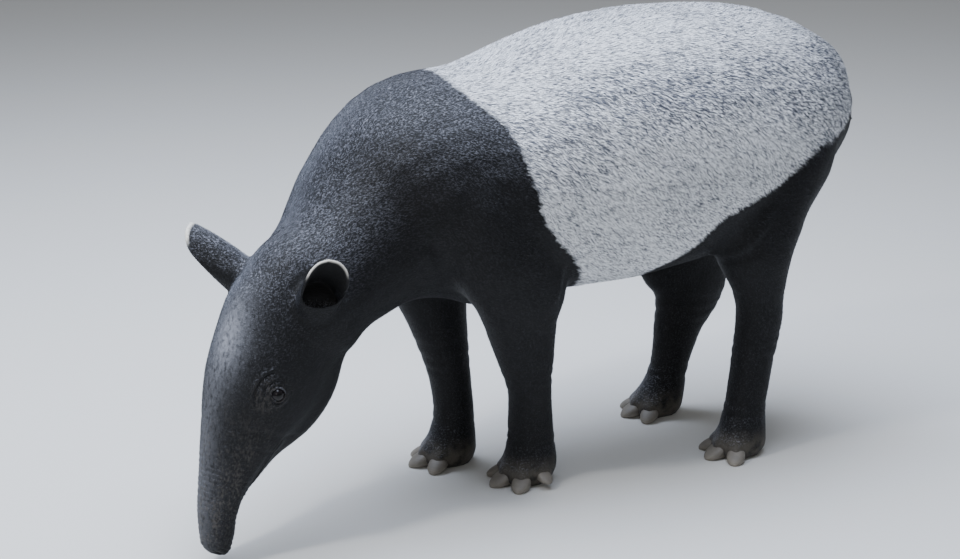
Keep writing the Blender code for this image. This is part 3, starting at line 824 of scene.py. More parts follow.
def side_folds(side, ahead, up):
    """Height of the folds of the elbow, the flank and the shoulder, each with a soft ridge beside it."""
    height = np.zeros(len(side))
    for start, end, width, depth in FOLDS:
        run = np.subtract(end, start)
        size = np.linalg.norm(run)
        t = ((ahead - start[0]) * run[0] + (up - start[1]) * run[1]) / (run @ run)
        off = ((ahead - start[0]) * run[1] - (up - start[1]) * run[0]) / size
        off += FOLD_BOW * size * (4 * t * (1 - t))
        within = smooth_step(-0.05, 0.25, t) * smooth_step(1.05, 0.75, t)
        within *= smooth_step(0.06, 0.10, np.abs(side))
        height -= depth * (bell(0, width, off) - 0.5 * bell(width * 1.9, width, off)) * within
    return height


def body_forms(mesh):
    """Soft forms of the body: throat, furrow of the buttocks, folds, creases of the legs, unevenness."""
    co, out = coordinates(mesh), normals(mesh)
    side, ahead, up = co[:, 0] - ORIGIN.x, ahead_of(co), co[:, 2]
    body = 1 - regions(co)[0]
    height = THROAT_FILL * bell(0, THROAT_REACH, np.hypot(ahead - THROAT[0], up - THROAT[1]))
    furrow = bell(0, FURROW_WIDTH, side) * smooth_step(-0.40, -0.50, ahead)
    height -= FURROW_DEPTH * furrow * smooth_step(0.40, 0.50, up) * smooth_step(0.79, 0.72, up)
    height += side_folds(side, ahead, up)
    legs = smooth_step(0.45, 0.36, up) * smooth_step(0.05, 0.08, up) * body
    bent = up + waves(co, CREASE_BENDS)
    for level, width, depth in LEG_CREASES:
        height -= depth * bell(level, width, bent) * legs * (0.7 + 0.6 * ripple(co, 0.05, 24))
    height += waves(co, UNEVENNESS) * smooth_step(0.05, 0.14, up) * body
    move(mesh, co + out * height[:, None])


def almond(angle, options):
    """A point of the edge between the lids, its front corner a little lower."""
    s = math.sin(angle)
    along, up = options.half_length * math.cos(angle), options.half_height * s * abs(s) ** 0.3
    return Vector((along * math.cos(LID_TILT) + up * math.sin(LID_TILT),
                   up * math.cos(LID_TILT) - along * math.sin(LID_TILT)))


def lid_height(radius, spot):
    """How far out a ball round the eye's centre reaches over a spot."""
    return math.sqrt(max(radius ** 2 - spot.length_squared, (0.45 * radius) ** 2))


def lid_fold(away, rise, ahead):
    """Height of the folds at a distance from the edge; rise is 1 above the eye, ahead 1 before it."""
    above, below = max((rise + 0.25) / 1.25, 0.0) ** 0.6, 0.7 * max(-rise, 0.0) ** 0.7
    above *= 0.75 - 0.45 * ahead
    upper = (0.0022 * bell(0.0065, 0.0055, away) - 0.0032 * bell(0.0140, 0.0028, away)
             + 0.0020 * bell(0.0215, 0.0050, away))
    lower = 0.0006 * bell(0.0060, 0.0045, away) - 0.0012 * bell(0.0150, 0.0035, away)
    return float(upper * above + lower * below)


def boundary_loop(forms):
    """The vertices round the one hole of a mesh, in order."""
    edge = min((e for e in forms.edges if e.is_boundary), key=lambda e: e.verts[0].index)
    loop, vert = [edge.verts[0]], edge.other_vert(edge.verts[0])
    while vert is not loop[0]:
        loop.append(vert)
        edge = next(e for e in vert.link_edges if e.is_boundary and e is not edge)
        vert = edge.other_vert(vert)
    return loop


def open_eye(mesh, side, options):
    """Replaces the skin round an eye by rings that end in two lids and close behind the eyeball."""
    forms = bmesh.new()
    forms.from_mesh(mesh)
    tree = BVHTree.FromBMesh(forms)
    place = eye_place(side)
    inverse = place.inverted()
    local = {v: inverse @ v.co for v in forms.verts}
    inner = {v for v, p in local.items() if math.hypot(p.y, p.z) < EYE_PATCH and p.x * side > -0.03}
    faces = [f for f in forms.faces if all(v in inner for v in f.verts)]
    bmesh.ops.delete(forms, geom=faces, context="FACES")
    loop = boundary_loop(forms)
    toward = place.to_3x3() @ Vector((-side, 0, 0))

    def vertex(spot, height):
        return forms.verts.new(place @ Vector((side * height, -spot.x, spot.y)))

    def skin_height(spot):
        hit = tree.ray_cast(place @ Vector((side * 0.09, -spot.x, spot.y)), toward)[0]
        return (inverse @ hit).x * side

    rings = [loop]
    starts, edges = [], []
    for v in loop:
        p = inverse @ v.co
        starts.append(Vector((-p.y, p.z)))
        edges.append(almond(math.atan2(p.z, -p.y), options))
    for k in range(1, LID_RINGS + 1):
        ring = []
        for start, edge in zip(starts, edges):
            t = 1 - (1 - k / LID_RINGS) ** 1.35
            spot = start.lerp(edge, t)
            away = (spot - edge).length
            share = float(smooth_step(0.0025, 0.015, away))
            edge_height = lid_height(options.radius + LID_WALL, spot)
            height = edge_height * (1 - share) + skin_height(spot) * share
            fade = float(smooth_step(1.0, 0.8, 1 - k / LID_RINGS))
            fold = lid_fold(away, edge.y / options.half_height, edge.x / options.half_length)
            ring.append(vertex(spot, height + fold * fade))
        rings.append(ring)
    for scale, over in LID_INSIDE:
        rings.append([vertex(edge * scale, lid_height(options.radius, edge * scale) + over)
                      for edge in edges])
    join_rings(forms, rings)
    forms.faces.new(rings[-1])
    bmesh.ops.recalc_face_normals(forms, faces=forms.faces)
    forms.to_mesh(mesh)
    forms.free()


def sink(mesh, depth):
    """Moves the skin inside the solids by the depth of the coat, less on the head and the feet."""
    co, out = coordinates(mesh), normals(mesh)
    head, _, feet = regions(co)
    amount = depth * (1 - 0.75 * head) * (1 - 0.8 * feet)
    co -= out * amount[:, None]
    # the soles are pressed flat on the floor
    co[:, 2] = np.where(co[:, 2] < SOLE, np.maximum(co[:, 2] * 0.3, 0.0), co[:, 2])
    move(mesh, co)


def store(mesh, name, values):
    """Keeps one number or one vector for each vertex."""
    kind = "FLOAT" if values.ndim == 1 else "FLOAT_VECTOR"
    layer = mesh.attributes.new(name, kind, "POINT")
    layer.data.foreach_set("value" if values.ndim == 1 else "vector", values.ravel().astype(np.float32))


def lie_of_coat(co, out):
    """The way that the hair lies: back over the head and body, down the legs, up the ears."""
    head = regions(co)[0][:, None]
    leg = smooth_step(0.50, 0.38, co[:, 2])[:, None] * (1 - head)
    neck = smooth_step(0.42, 0.60, ahead_of(co))[:, None] * (1 - head)
    flank = np.abs(co[:, 0] - ORIGIN.x)[:, None] / 0.28
    back = np.tile(HAIR_BACK, (len(co), 1)) + neck * HAIR_OVER_NECK + flank * (1 - neck) * HAIR_DOWN_FLANK
    lie = back * (1 - leg) + HAIR_DOWN_LEG * leg
    lie = lie * (1 - head) + np.array(HEAD.to_3x3() @ point(-1, 0, 0.15)) * head
    for name in EARS:
        place = ear_place(name)
        along, left, up = along_left_up(co, place)
        on = (along > 0.0) & (along < EAR_LENGTH) & (np.hypot(left, up) < 0.07)
        lie[on] = np.array(place.to_3x3() @ point(1, 0, 0))
    lie += np.stack([ripple(co, 0.11, 11 + i) for i in range(3)], 1) * 0.22
    lie -= out * (lie * out).sum(1)[:, None]
    return lie / np.maximum(np.linalg.norm(lie, axis=1), 1e-6)[:, None]


def depth_in_saddle(co):
    """How far each place lies inside the nearer edge of the white saddle; negative is outside."""
    front = np.interp(co[:, 2], *np.transpose(SADDLE_FRONT)) - ahead_of(co)
    rear = (co[:, 2] - np.interp(ahead_of(co), *np.transpose(SADDLE_REAR))) * REAR_SLANT
    return np.minimum(front, rear)


def ear_marks(co, out, name, rim):
    """Of one ear: which places are on it, the inside of its cup and its pale edge, and a painted shade over
    its lower part.
    """
    place, wall = ear_place(name), settings("skin").ear_wall
    along, left, up = along_left_up(co, place)
    reach = np.hypot(left, up)
    on = (along > 0.02) & (along < EAR_LENGTH) & (reach < 0.06)
    picked = np.nonzero(on)[0]
    spots = np.stack([along, left, up], 1)[picked]
    gap = np.linalg.norm(spots[:, None] - rim[None], axis=2).min(1)
    turned = out[picked] @ np.array(place.to_3x3())
    facing = np.stack([-turned[:, 1], turned[:, 0], turned[:, 2]], 1)
    cup = (facing * (spots - CUP_MIDDLE)).sum(1) < 0
    cup &= reach[picked] < np.where(spots[:, 0] < 0.05, 0.035, 0.055)
    inside, edge = np.zeros(len(co)), np.zeros(len(co))
    inside[picked] = cup * smooth_step(0.003, 0.007, gap)
    edge[picked] = smooth_step(wall * 1.15, wall * 0.75, gap) * smooth_step(0.094, 0.114, spots[:, 0])
    # Painted shade over the lower part of the ear, near its middle
    shade = 0.9 * on * smooth_step(0.062, 0.048, reach) * smooth_step(0.125, 0.095, along)
    return on, inside, edge, shade


def mark(mesh):
    """Keeps on the skin what the coat and the materials need: lie, size of the hair and markings."""
    co, out = coordinates(mesh), normals(mesh)
    head, nose, feet = regions(co)
    along, left, up = along_left_up(co, HEAD)
    # How far the skin faces up: it sets the painted highlight and sheen of the black coat and the share of
    # dark hairs in the white one
    sky = out[:, 2].copy()
    # size of the hair, from 0 on bare skin to 1 on the saddle
    fur = 1 - 0.55 * head - 0.10 * nose
    fur *= 1 - 0.45 * smooth_step(0.012, -0.012, depth_in_saddle(co)) * (1 - head)
    fur *= 1 - 0.45 * feet
    inside, edge, rim = np.zeros(len(co)), np.zeros(len(co)), rim_of_ear(240)
    for name in EARS:
        on, cup, pale, shade = ear_marks(co, out, name, rim)
        inside, edge = np.maximum(inside, cup), np.maximum(edge, pale)
        fur = np.where(on, 0.42, fur)
        # Painted shade: the lower part of the left ear counts as facing up less, so it gets little painted
        # highlight and sheen
        if name == "ear_left":
            sky -= shade
    muzzle = head * smooth_step(0.22, 0.54, along) * (0.35 + 0.65 * smooth_step(-0.16, -0.10, up))
    for name, side in (("lid_right", -1), ("lid_left", 1)):
        ahead, outward, over = along_left_up(co, eye_place(side))
        outside = outward * side > 0.0
        spread = np.hypot(ahead / 0.0160, over / 0.0172)
        fur *= 1 - smooth_step(1.42, 1.08, spread) * outside
        bare = smooth_step(1.10, 0.98, spread) * outside * (0.15 + 0.85 * smooth_step(0.002, -0.010, over))
        store(mesh, name, bare)
        halo = 0.55 * smooth_step(0.060, 0.018, np.hypot(ahead - 0.010, over - 0.014)) * outside
        muzzle = np.maximum(muzzle, halo)
    # Painted highlight: a pale band along the ridge of the forehead and down the nose, on its upper side
    left_highlight_band = bell(0.170, 0.080, along) * bell(0.020, 0.030, left)
    ridge = 0.35 * bell(0.0, 0.030, left) * smooth_step(0.20, 0.30, along)
    streak = (left_highlight_band + ridge) * smooth_step(-0.11, -0.02, up + 0.06 * nose) * head
    sole = (co[:, 2] < 0.012) | ((co[:, 2] < 0.03) & (out[:, 2] < -0.3))
    fur = np.where(sole, 0.0, fur)
    fur *= 1 - 0.9 * inside
    fur *= 1 - 0.8 * smooth_step(0.56, 0.585, along) * head
    for name, values in (("root", co), ("sky", sky), ("lie", lie_of_coat(co, out)),
                         ("fur", np.clip(fur, 0, 1)), ("ear_inside", inside), ("ear_edge", edge),
                         ("muzzle", muzzle), ("streak", streak)):
        store(mesh, name, values)


def area_of_faces(mesh):
    """Number of the coat piece that grows on each face: the head, the legs, then bands from neck to rump."""
    middle = np.empty(len(mesh.polygons) * 3)
    mesh.polygons.foreach_get("center", middle)
    middle = middle.reshape(-1, 3)
    band = 1 + sum((ahead_of(middle) < start).astype(int) for start in BANDS)
    band[middle[:, 2] < LEGS_BELOW] = 0
    number = 1 + band * 2 + (middle[:, 0] > ORIGIN.x)
    number[regions(middle)[0] > 0.5] = 0
    layer = mesh.attributes.new("area", "INT", "FACE")
    layer.data.foreach_set("value", number.astype(np.int32))


def flat_map(mesh):
    """A coarse copy of the skin, unwrapped, that tells where each tuft's colour lies on the map."""
    obj = remeshed(put("coat_map", mesh.copy()), MAP_MESH)
    bpy.context.view_layer.objects.active = obj
    obj.select_set(True)
    bpy.ops.object.mode_set(mode="EDIT")
    bpy.ops.mesh.select_all(action="SELECT")
    bpy.ops.uv.smart_project(angle_limit=math.radians(66), island_margin=0.004)
    bpy.ops.object.mode_set(mode="OBJECT")
    obj.data.uv_layers[0].name = "OFBake"
    obj.select_set(False)
    obj.hide_render = obj.hide_viewport = True
    return obj


class TAPIR_OT_skin(bpy.types.Operator):
    """Builds the one skin of the body with its ears, lids, mouth, nostrils and folds"""

    bl_idname = "tapir.skin"
    bl_label = "Skin"

    def execute(self, context):
        options = settings("skin")
        obj = body_shell(options.mesh_size)
        mesh = obj.data
        largest_part(mesh)
        head, _, feet = regions(coordinates(mesh))
        relax(mesh, 1 - 0.45 * head - 0.55 * feet, 9)
        body_forms(mesh)
        sink(mesh, options.coat_depth)
        tuck_hooves(mesh)
        before = len(mesh.vertices)
        for name in EARS:
            combine(obj, ear(name, options.ear_wall))
        mesh = obj.data
        if len(mesh.vertices) <= before:
            raise RuntimeError("the ears did not join the skin")
        refine(mesh, lambda co: regions(co)[0] > 0.3, options.head_mesh)
        refine(mesh, lambda co: (regions(co)[1] > 0.5) | (near_eye(co) < FACE_REACH), options.face_mesh)
        # the ears grow out of the head in a soft curve
        distance, on_ear = near_ears(coordinates(mesh))
        root = smooth_step(0.075, 0.045, distance) * (1 - on_ear)
        relax(mesh, np.clip(root, 0, 1), 8, back=-0.30)
        relax(mesh, regions(coordinates(mesh))[0] * (1 - on_ear) * 0.8, 3)
        wrinkle(mesh, options)
        for side in (-1, 1):
            open_eye(mesh, side, settings("eye"))
        thin(obj, options.most_faces)
        mesh = obj.data
        mark(mesh)
        area_of_faces(mesh)
        mesh.shade_smooth()
        finish_piece(obj, flesh_nodes(), coat_material("short_coat_skin", True))
        return {"FINISHED"}


def near_eye(co):
    """Distance to the nearer eye."""
    centres = [np.array(HEAD @ point(EYE[0], EYE[1] * s, EYE[2])) for s in (-1, 1)]
    return np.min([np.linalg.norm(co - c, axis=1) for c in centres], axis=0)


# Coat


def coat_tree():
    """Geometry Nodes: flat pointed tufts that lie along the skin of one area."""
    tree = bpy.data.node_groups.new("Short coat", "GeometryNodeTree")
    face = tree.interface
    face.new_socket("Skin", in_out="INPUT", socket_type="NodeSocketGeometry")
    for name, kind in (("Area", "Int"), ("Density", "Float"), ("Length", "Float"), ("Width", "Float"),
                       ("Lift", "Float"), ("Seed", "Int"), ("Map", "Object"), ("Material", "Material")):
        face.new_socket(name, in_out="INPUT", socket_type="NodeSocket" + kind)
    face.new_socket("Coat", in_out="OUTPUT", socket_type="NodeSocketGeometry")
    add = partial(add_node, tree)
    given = add("NodeGroupInput").outputs
    vector, number = {"data_type": "FLOAT_VECTOR"}, {"data_type": "FLOAT"}
    fur = add(NAMED, number, {"Name": "fur"})
    area = add(NAMED, {"data_type": "INT"}, {"Name": "area"})
    lie, map_place, blade_place, kept_patch = (
        add(NAMED, vector, {"Name": name}) for name in ("lie", "OFBake", "blade", "patch"))
    position = add("GeometryNodeInputPosition")
    chance = {name: add(RANDOM, number, {"Min": low, "Max": high, "Seed": seed})
              for name, low, high, seed in TUFT_CHANCES}
    # roots of the tufts, with what each keeps of its place
    here = add("FunctionNodeCompare", {"data_type": "INT", "operation": "EQUAL"}, (area, given["Area"]))
    fits = add(MATH, DIVIDE, (given["Density"], add(MATH, MAXIMUM, (fur, SMALLEST_FUR))))
    wanted = add(MATH, MULTIPLY, (fits, add(MATH, {"operation": "GREATER_THAN"}, (fur, BARE_SKIN))))
    roots = add("GeometryNodeDistributePointsOnFaces", {"distribute_method": "RANDOM"},
                {"Mesh": given["Skin"], "Selection": here, "Density": wanted, "Seed": given["Seed"]})
    mapped = add("GeometryNodeObjectInfo", None, {"Object": given["Map"]}).outputs["Geometry"]
    patch = add("GeometryNodeSampleNearestSurface", vector,
                {"Mesh": mapped, "Value": map_place, "Sample Position": position})
    points = roots
    for name, value, kind in (("root", position, vector), ("patch", patch, vector),
                              ("shade", chance["shade"], number)):
        points = add(KEEP, {**kind, "domain": "POINT"}, {"Geometry": points, "Name": name, "Value": value})
    # direction of each tuft: along the lie of the coat, a little astray and a little lifted
    out = roots.outputs["Normal"]
    stray = add(RANDOM, vector, {"Min": (-TUFT_STRAY,) * 3, "Max": (TUFT_STRAY,) * 3, "Seed": 9})
    flat = add(VECTORS, ADD, (lie, stray))
    outward = add(VECTORS, {"operation": "DOT_PRODUCT"}, (flat, out))
    flat = add(VECTORS, SUBTRACT, (flat, add(VECTORS, SCALE, (out, outward))))
    flat = add(VECTORS, {"operation": "NORMALIZE"}, (flat,))
    lift = add(MATH, MULTIPLY, (given["Lift"], chance["lift"]))
    away = add(VECTORS, ADD, (flat, add(VECTORS, SCALE, (out, lift))))
    turn = add(ALIGN, {"axis": "Z"}, {"Vector": away})
    turn = add(ALIGN, {"axis": "Y", "pivot_axis": "Z"}, {"Rotation": turn, "Vector": out})
    # size of each tuft, three times as wide as it is thick
    wide = add(MATH, MULTIPLY, (add(MATH, MULTIPLY, (given["Width"], fur)), chance["wide"]))
    long = add(MATH, MULTIPLY, (add(MATH, MULTIPLY, (given["Length"], fur)), chance["long"]))
    size = add("ShaderNodeCombineXYZ", None, (wide, add(MATH, MULTIPLY, (wide, TUFT_THICKNESS)), long))
    blade = add("GeometryNodeMeshCone", {"fill_type": "NGON"},
                {"Vertices": 3, "Side Segments": 1, "Radius Top": 0.0, "Radius Bottom": 0.58, "Depth": 1.0})
    blade = add(KEEP, {**vector, "domain": "POINT"}, {"Geometry": blade, "Name": "blade", "Value": position})
    hair = add("GeometryNodeInstanceOnPoints", None,
               {"Points": points, "Instance": blade, "Rotation": turn, "Scale": size})
    real = add("GeometryNodeRealizeInstances", None, (hair,))
    # each tuft gets its own small place on the map, round that of its root
    spread = add("ShaderNodeSeparateXYZ", None, (blade_place,)).outputs
    from_tip = add(MATH, SUBTRACT, (spread["Z"], 0.5))
    offset = add("ShaderNodeCombineXYZ", None, (add(MATH, MULTIPLY, (spread["X"], 0.0015)),
                                                add(MATH, MULTIPLY, (from_tip, 0.003))))
    on_map = add(VECTORS, ADD, (kept_patch, offset))
    real = add(KEEP, {"data_type": "FLOAT2", "domain": "CORNER"},
               {"Geometry": real, "Name": "OFBake", "Value": on_map})
    for name in ("blade", "patch", "lie", "fur"):
        real = add("GeometryNodeRemoveAttribute", None, {"Geometry": real, "Name": name})
    done = add("GeometryNodeSetMaterial", None, {"Geometry": real, "Material": given["Material"]})
    add("NodeGroupOutput", None, (done,))
    return tree


class TAPIR_OT_coat(bpy.types.Operator):
    """Grows the short coat over the skin in pieces, as tufts that lie along the body"""

    bl_idname = "tapir.coat"
    bl_label = "Coat"

    def execute(self, context):
        options = settings("coat")
        skin = bpy.data.objects["skin"]
        tree = coat_tree()
        sockets = {item.name: item.identifier for item in tree.interface.items_tree if item.in_out == "INPUT"}
        guide = flat_map(skin.data)
        material = coat_material("short_coat_tufts", False)
        for number, area in enumerate(AREAS):
            obj = put("coat_" + area, skin.data.copy())
            modifier = obj.modifiers.new("coat", "NODES")
            modifier.node_group = tree
            density = options.density * (0.5 if area.startswith("legs") else 1.0)
            for name, value in (("Area", number), ("Density", density), ("Length", options.hair_length),
                                ("Width", options.hair_width), ("Lift", math.tan(options.hair_lift)),
                                ("Seed", 20 + number), ("Map", guide), ("Material", material)):
                modifier[sockets[name]] = value
            applied(obj)
            if not obj.data.polygons:
                raise RuntimeError("no tufts grew on " + area)
            finish_piece(obj, [], material)
        bpy.data.objects.remove(guide)
        return {"FINISHED"}


def pattern(tree, name, root):
    """One of the patterns of the coat: noise at the roots of the hair, drawn out along the body."""
    spots, stretch, detail = PATTERNS[name]
    drawn = add_node(tree, "ShaderNodeMapping", None, {"Vector": root, "Scale": stretch})
    return add_node(tree, "ShaderNodeTexNoise", None, {"Vector": drawn, "Scale": spots, "Detail": detail})


def saddle_line(tree, value, start, span, points):
    """An edge of the saddle: a smooth line through points, read at a value from start over span."""
    share = add_node(tree, MATH, DIVIDE, (add_node(tree, MATH, SUBTRACT, (value, start)), span))
    node = add_node(tree, "ShaderNodeFloatCurve", None, {"Value": share})
    curve = node.mapping.curves[0]
    while len(curve.points) < len(points):
        curve.points.new(0.5, 0.5)
    for spot, (along, across) in zip(curve.points, points):
        spot.location = ((along - start) / span, across)
    node.mapping.update()
    return node


def saddle_share(tree, root, ahead, up):
    """1 in the white saddle and 0 outside, with 14 mm tongues of hair and single hairs over its edge."""
    add = partial(add_node, tree)
    front = add(MATH, SUBTRACT, (saddle_line(tree, up, 0.35, 0.80, SADDLE_FRONT), ahead))
    rear = add(MATH, SUBTRACT, (up, saddle_line(tree, ahead, -0.78, 0.95, SADDLE_REAR)))
    rear = add(MATH, MULTIPLY, (rear, REAR_SLANT))
    inside = add(MATH, {"operation": "SMOOTH_MIN"}, (front, rear, 0.03))
    tongues, hairs = (
        add(MATH, MULTIPLY, (add(MATH, SUBTRACT, (pattern(tree, name, root), 0.5)), reach))
        for name, reach in (("tongues", 0.030), ("crossing hairs", 0.016)))
    inside = add(MATH, ADD, (inside, add(MATH, ADD, (tongues, hairs))))
    return add(RANGE, SMOOTH, (inside, -0.004, 0.007))


def white_coat(tree, root, sky, ahead, shade):
    """White hair with dark hairs in it: few along the back, most on the upper flank and by the tail."""
    add, options = partial(add_node, tree), settings("skin")
    dark = 0.27
    for value, low, high, more in ((sky, 0.92, 0.55, 0.22), (sky, 0.45, -0.10, -0.24),
                                   (ahead, -0.40, -0.62, 0.14)):
        dark = add(MATH, MULTIPLY_ADD, (add(RANGE, SMOOTH, (value, low, high)), more, dark))
    drift = add(MATH, SUBTRACT, (pattern(tree, "drifts of dark hair", root), 0.5))
    dark = add(MATH, MULTIPLY_ADD, (drift, 0.42, dark))
    if shade is None:
        share = add(MATH, MULTIPLY_ADD, (dark, 0.8, 0.30))
    else:
        share = add(RANGE, SMOOTH, (add(MATH, SUBTRACT, (shade, dark)), 0.16, -0.10))
    return add(MIX, COLOURS, (share, linear(options.white), linear(options.fleck)))


def black_coat(tree, root, kept, ahead, up, shade):
    """Black hair with painted highlights on single hairs of its upper sides and along the forehead, the worn
    nose, dust, ears with their cups kept near black as partly painted shade, and lids.
    """
    add, options = partial(add_node, tree), settings("skin")
    # Painted highlight: grey single hairs, most where the coat faces up to the light from above
    if shade is None:
        painted_glint = add(RANGE, SMOOTH, (pattern(tree, "single hairs", root), 0.5, 0.75))
    else:
        painted_glint = add(RANGE, SMOOTH, (shade, 0.35, 1.0))
    lit = add(MATH, MULTIPLY_ADD, (add(RANGE, SMOOTH, (kept["sky"], 0.0, 0.90)), 0.92, 0.08))
    # Painted highlight along the ridge of the forehead, broken into patches
    broken = add(RANGE, SMOOTH, (pattern(tree, "broken bloom", root), 0.15, 0.60))
    painted_ridge_highlight = add(MATH, MULTIPLY, (kept["streak"], broken))
    coarse = add(MATH, MULTIPLY, (pattern(tree, "blotches of the nose", root), 0.35))
    spots = add(MATH, MULTIPLY_ADD, (pattern(tree, "specks of the nose", root), 0.65, coarse))
    speckle = add(MATH, MULTIPLY, (kept["muzzle"], add(RANGE, SMOOTH, (spots, 0.47, 0.66))))
    low = add(RANGE, SMOOTH, (up, 0.085, 0.020))
    dusty = add(MATH, MULTIPLY, (low, add(RANGE, SMOOTH, (pattern(tree, "dust", root), 0.20, 0.60))))
    dusty = add(MATH, MULTIPLY, (dusty, add(RANGE, SMOOTH, (ahead, 0.62, 0.55))))
    lids = add(MATH, MAXIMUM, (kept["lid_left"], kept["lid_right"]))
    # The ear cups are mixed to near black over the painted highlight, as partly painted shade of the hollow
    black = linear(options.black)
    for share, strength, code in ((add(MATH, MULTIPLY, (painted_glint, lit)), None, options.painted_glint),
                                  (painted_ridge_highlight, 0.80, options.painted_ridge_highlight), (speckle, 0.60, options.grey),
                                  (dusty, 0.75, options.dust), (kept["ear_inside"], None, options.cup),
                                  (lids, 0.8, options.lid), (kept["ear_edge"], None, options.rim)):
        if strength is not None:
            share = add(MATH, MULTIPLY, (share, strength))
        black = add(MIX, COLOURS, (share, black, linear(code)))
    return black


def coat_sheen(tree, root, kept, saddle, shade):
    """Strength of the sheen, painted in where light from above falls: strong on upper sides of the black
    coat, hardly any on the white one.
    """
    add = partial(add_node, tree)
    # Little sheen on the white saddle, and none in the ear cups, which is partly painted shade of the hollow
    bare = add(MATH, MAXIMUM, (kept["ear_inside"], saddle))
    strand = pattern(tree, "single hairs", root) if shade is None else shade
    # Painted sheen: it grows where the coat faces up
    lit = add(MATH, MULTIPLY_ADD, (add(RANGE, SMOOTH, (kept["sky"], 0.0, 0.90)), 0.95, 0.05))
    lit = add(MATH, MULTIPLY, (lit, add(MATH, MULTIPLY_ADD, (strand, 1.1, 0.45))))
    return add(MATH, MULTIPLY_ADD, (add(MATH, SUBTRACT, (1.0, bare)), lit, 0.03))


def coat_material(name, skin):
    """Short hair of a large mammal, worn close: black with painted highlights of cold grey on its upper
    sides, white with dark hairs in it.

    Hair is keratin, which the eye reads as a soft sheen along the form and not as gloss.
    """
    material, tree, shader = new_material(name, {
        "Roughness": 0.60 if skin else 0.45, "IOR": 1.5, "Specular IOR Level": 0.22,
        "Sheen Roughness": 0.40, "Sheen Tint": linear(settings("skin").sheen)})
    add = partial(add_node, tree)
    root = add("ShaderNodeAttribute", {"attribute_name": "root"}).outputs["Vector"]
    kept = {label: add("ShaderNodeAttribute", {"attribute_name": label}).outputs["Fac"]
            for label in ("sky", "streak", "muzzle", "ear_inside", "ear_edge", "lid_left", "lid_right")}
    shade = None if skin else add("ShaderNodeAttribute", {"attribute_name": "shade"}).outputs["Fac"]
    parts = add("ShaderNodeSeparateXYZ", None, (root,)).outputs
    ahead, up = add(MATH, SUBTRACT, (ORIGIN.y, parts["Y"])), parts["Z"]
    saddle = saddle_share(tree, root, ahead, up)
    colour = add(MIX, COLOURS, (saddle, black_coat(tree, root, kept, ahead, up, shade),
                                white_coat(tree, root, kept["sky"], ahead, shade)))
    tree.links.new(first_output(colour), shader.inputs["Base Color"])
    sheen = coat_sheen(tree, root, kept, saddle, shade)
    tree.links.new(first_output(sheen), shader.inputs["Sheen Weight"])
    if skin:
        locks, fine = pattern(tree, "locks", root), pattern(tree, "fine hair", root)
        height = add(MATH, MULTIPLY_ADD, (locks, 0.8, fine))
        bump = add("ShaderNodeBump", None, {"Strength": 0.8, "Distance": 0.0014, "Height": height})
        tree.links.new(first_output(bump), shader.inputs["Normal"])
    return material


# Eyes


class TAPIR_OT_eyes(bpy.types.Operator):
    """Makes the two wet eyes, each a ball with a clear bulge over a dark iris"""

    bl_idname = "tapir.eyes"
    bl_label = "Eyes"

    def execute(self, context):
        options = settings("eye")
        for side, name in ((-1, "eye_right"), (1, "eye_left")):
            forms = bmesh.new()
            place = eye_place(side)
            axis = Matrix.Rotation(math.radians(90 * side), 4, "Y")
            bmesh.ops.create_uvsphere(forms, u_segments=48, v_segments=36, radius=options.radius,
                                      matrix=place @ axis)
            middle = place.translation
            out = (place.to_3x3() @ Vector((side, 0, 0))).normalized()
            for vert in forms.verts:
                reach = (vert.co - middle).normalized().dot(out)
                vert.co += out * options.bulge * float(smooth_step(*BULGE_FROM, reach))
            mesh = mesh_of(name + "_wet", forms)
            mesh.shade_smooth()
            material = eye_material(name, middle + out * options.radius)
            finish_piece(put(name + "_wet", mesh), [name], material)
        return {"FINISHED"}


def eye_material(name, front):
    """Wet eyeball: a smooth clear layer over a nearly black iris, which gives one sharp highlight."""
    options = settings("eye")
    material, tree, shader = new_material("wet_" + name, {
        "Roughness": 0.25, "IOR": 1.376, "Specular IOR Level": 0.15,
        "Coat Weight": 0.8, "Coat IOR": 1.30, "Coat Roughness": 0.03})
    add = partial(add_node, tree)
    place = add("ShaderNodeTexCoord").outputs["Object"]
    reach = add(VECTORS, {"operation": "DISTANCE"}, (place, tuple(front)))
    colour = linear(options.pupil)
    for edge, code in ((PUPIL_EDGE, options.iris), (IRIS_EDGE, options.ball)):
        colour = add(MIX, COLOURS, (add(RANGE, SMOOTH, (reach, *edge)), colour, linear(code)))
    tree.links.new(first_output(colour), shader.inputs["Base Color"])
    return material


# Hooves


def foot_place(foot):
    """Where a foot stands on the floor, its middle toe pointing ahead."""
    ahead, left, turn, _, _ = FEET[foot]
    return (Matrix.Translation(ORIGIN + point(ahead, left, 0))
            @ Matrix.Rotation(math.radians(turn), 4, "Z"))


def toes(foot):
    """Name, direction in degrees, distance out, height and scale of each toe of a foot."""
    outer, hind = FEET[foot][3:]
    return [(name, direction * outer, out, height, scale)
            for name, direction, out, height, scale in TOES if not (hind and name == "side")]


class TAPIR_OT_hooves(bpy.types.Operator):
    """Makes the hooves of each foot, with the ridge of their crown and lines of growth"""

    bl_idname = "tapir.hooves"
    bl_label = "Hooves"

    def execute(self, context):
        options = settings("hoof")
        material = horn_material()
        rows = [(ahead, up, wide + proud * options.proud, above + proud * options.proud, below, top, bottom)
                for ahead, up, wide, above, below, top, bottom, proud in HOOF]
        for foot in FEET:
            forms = bmesh.new()
            names = []
            for name, direction, out, height, scale in toes(foot):
                names.append(foot.replace("foot", "hoof") + "_" + name)
                place = (foot_place(foot) @ Matrix.Rotation(math.radians(direction), 4, "Z")
                         @ Matrix.Translation(point(out, 0, height)) @ Matrix.Scale(scale, 4))
                loft(forms, rows, place, 40, 5)
            mesh = mesh_of("hooves_" + foot, forms)
            co = coordinates(mesh)
            co[:, 2] = np.maximum(co[:, 2], 0.0)
            grow = options.line_height * np.sin(co[:, 2] * 2 * math.pi / options.line_spacing)
            co += normals(mesh) * np.where(co[:, 2] > 0.001, grow, 0.0)[:, None]
            move(mesh, co)
            mesh.shade_smooth()
            finish_piece(put("hooves_" + foot, mesh), names, material)
        return {"FINISHED"}


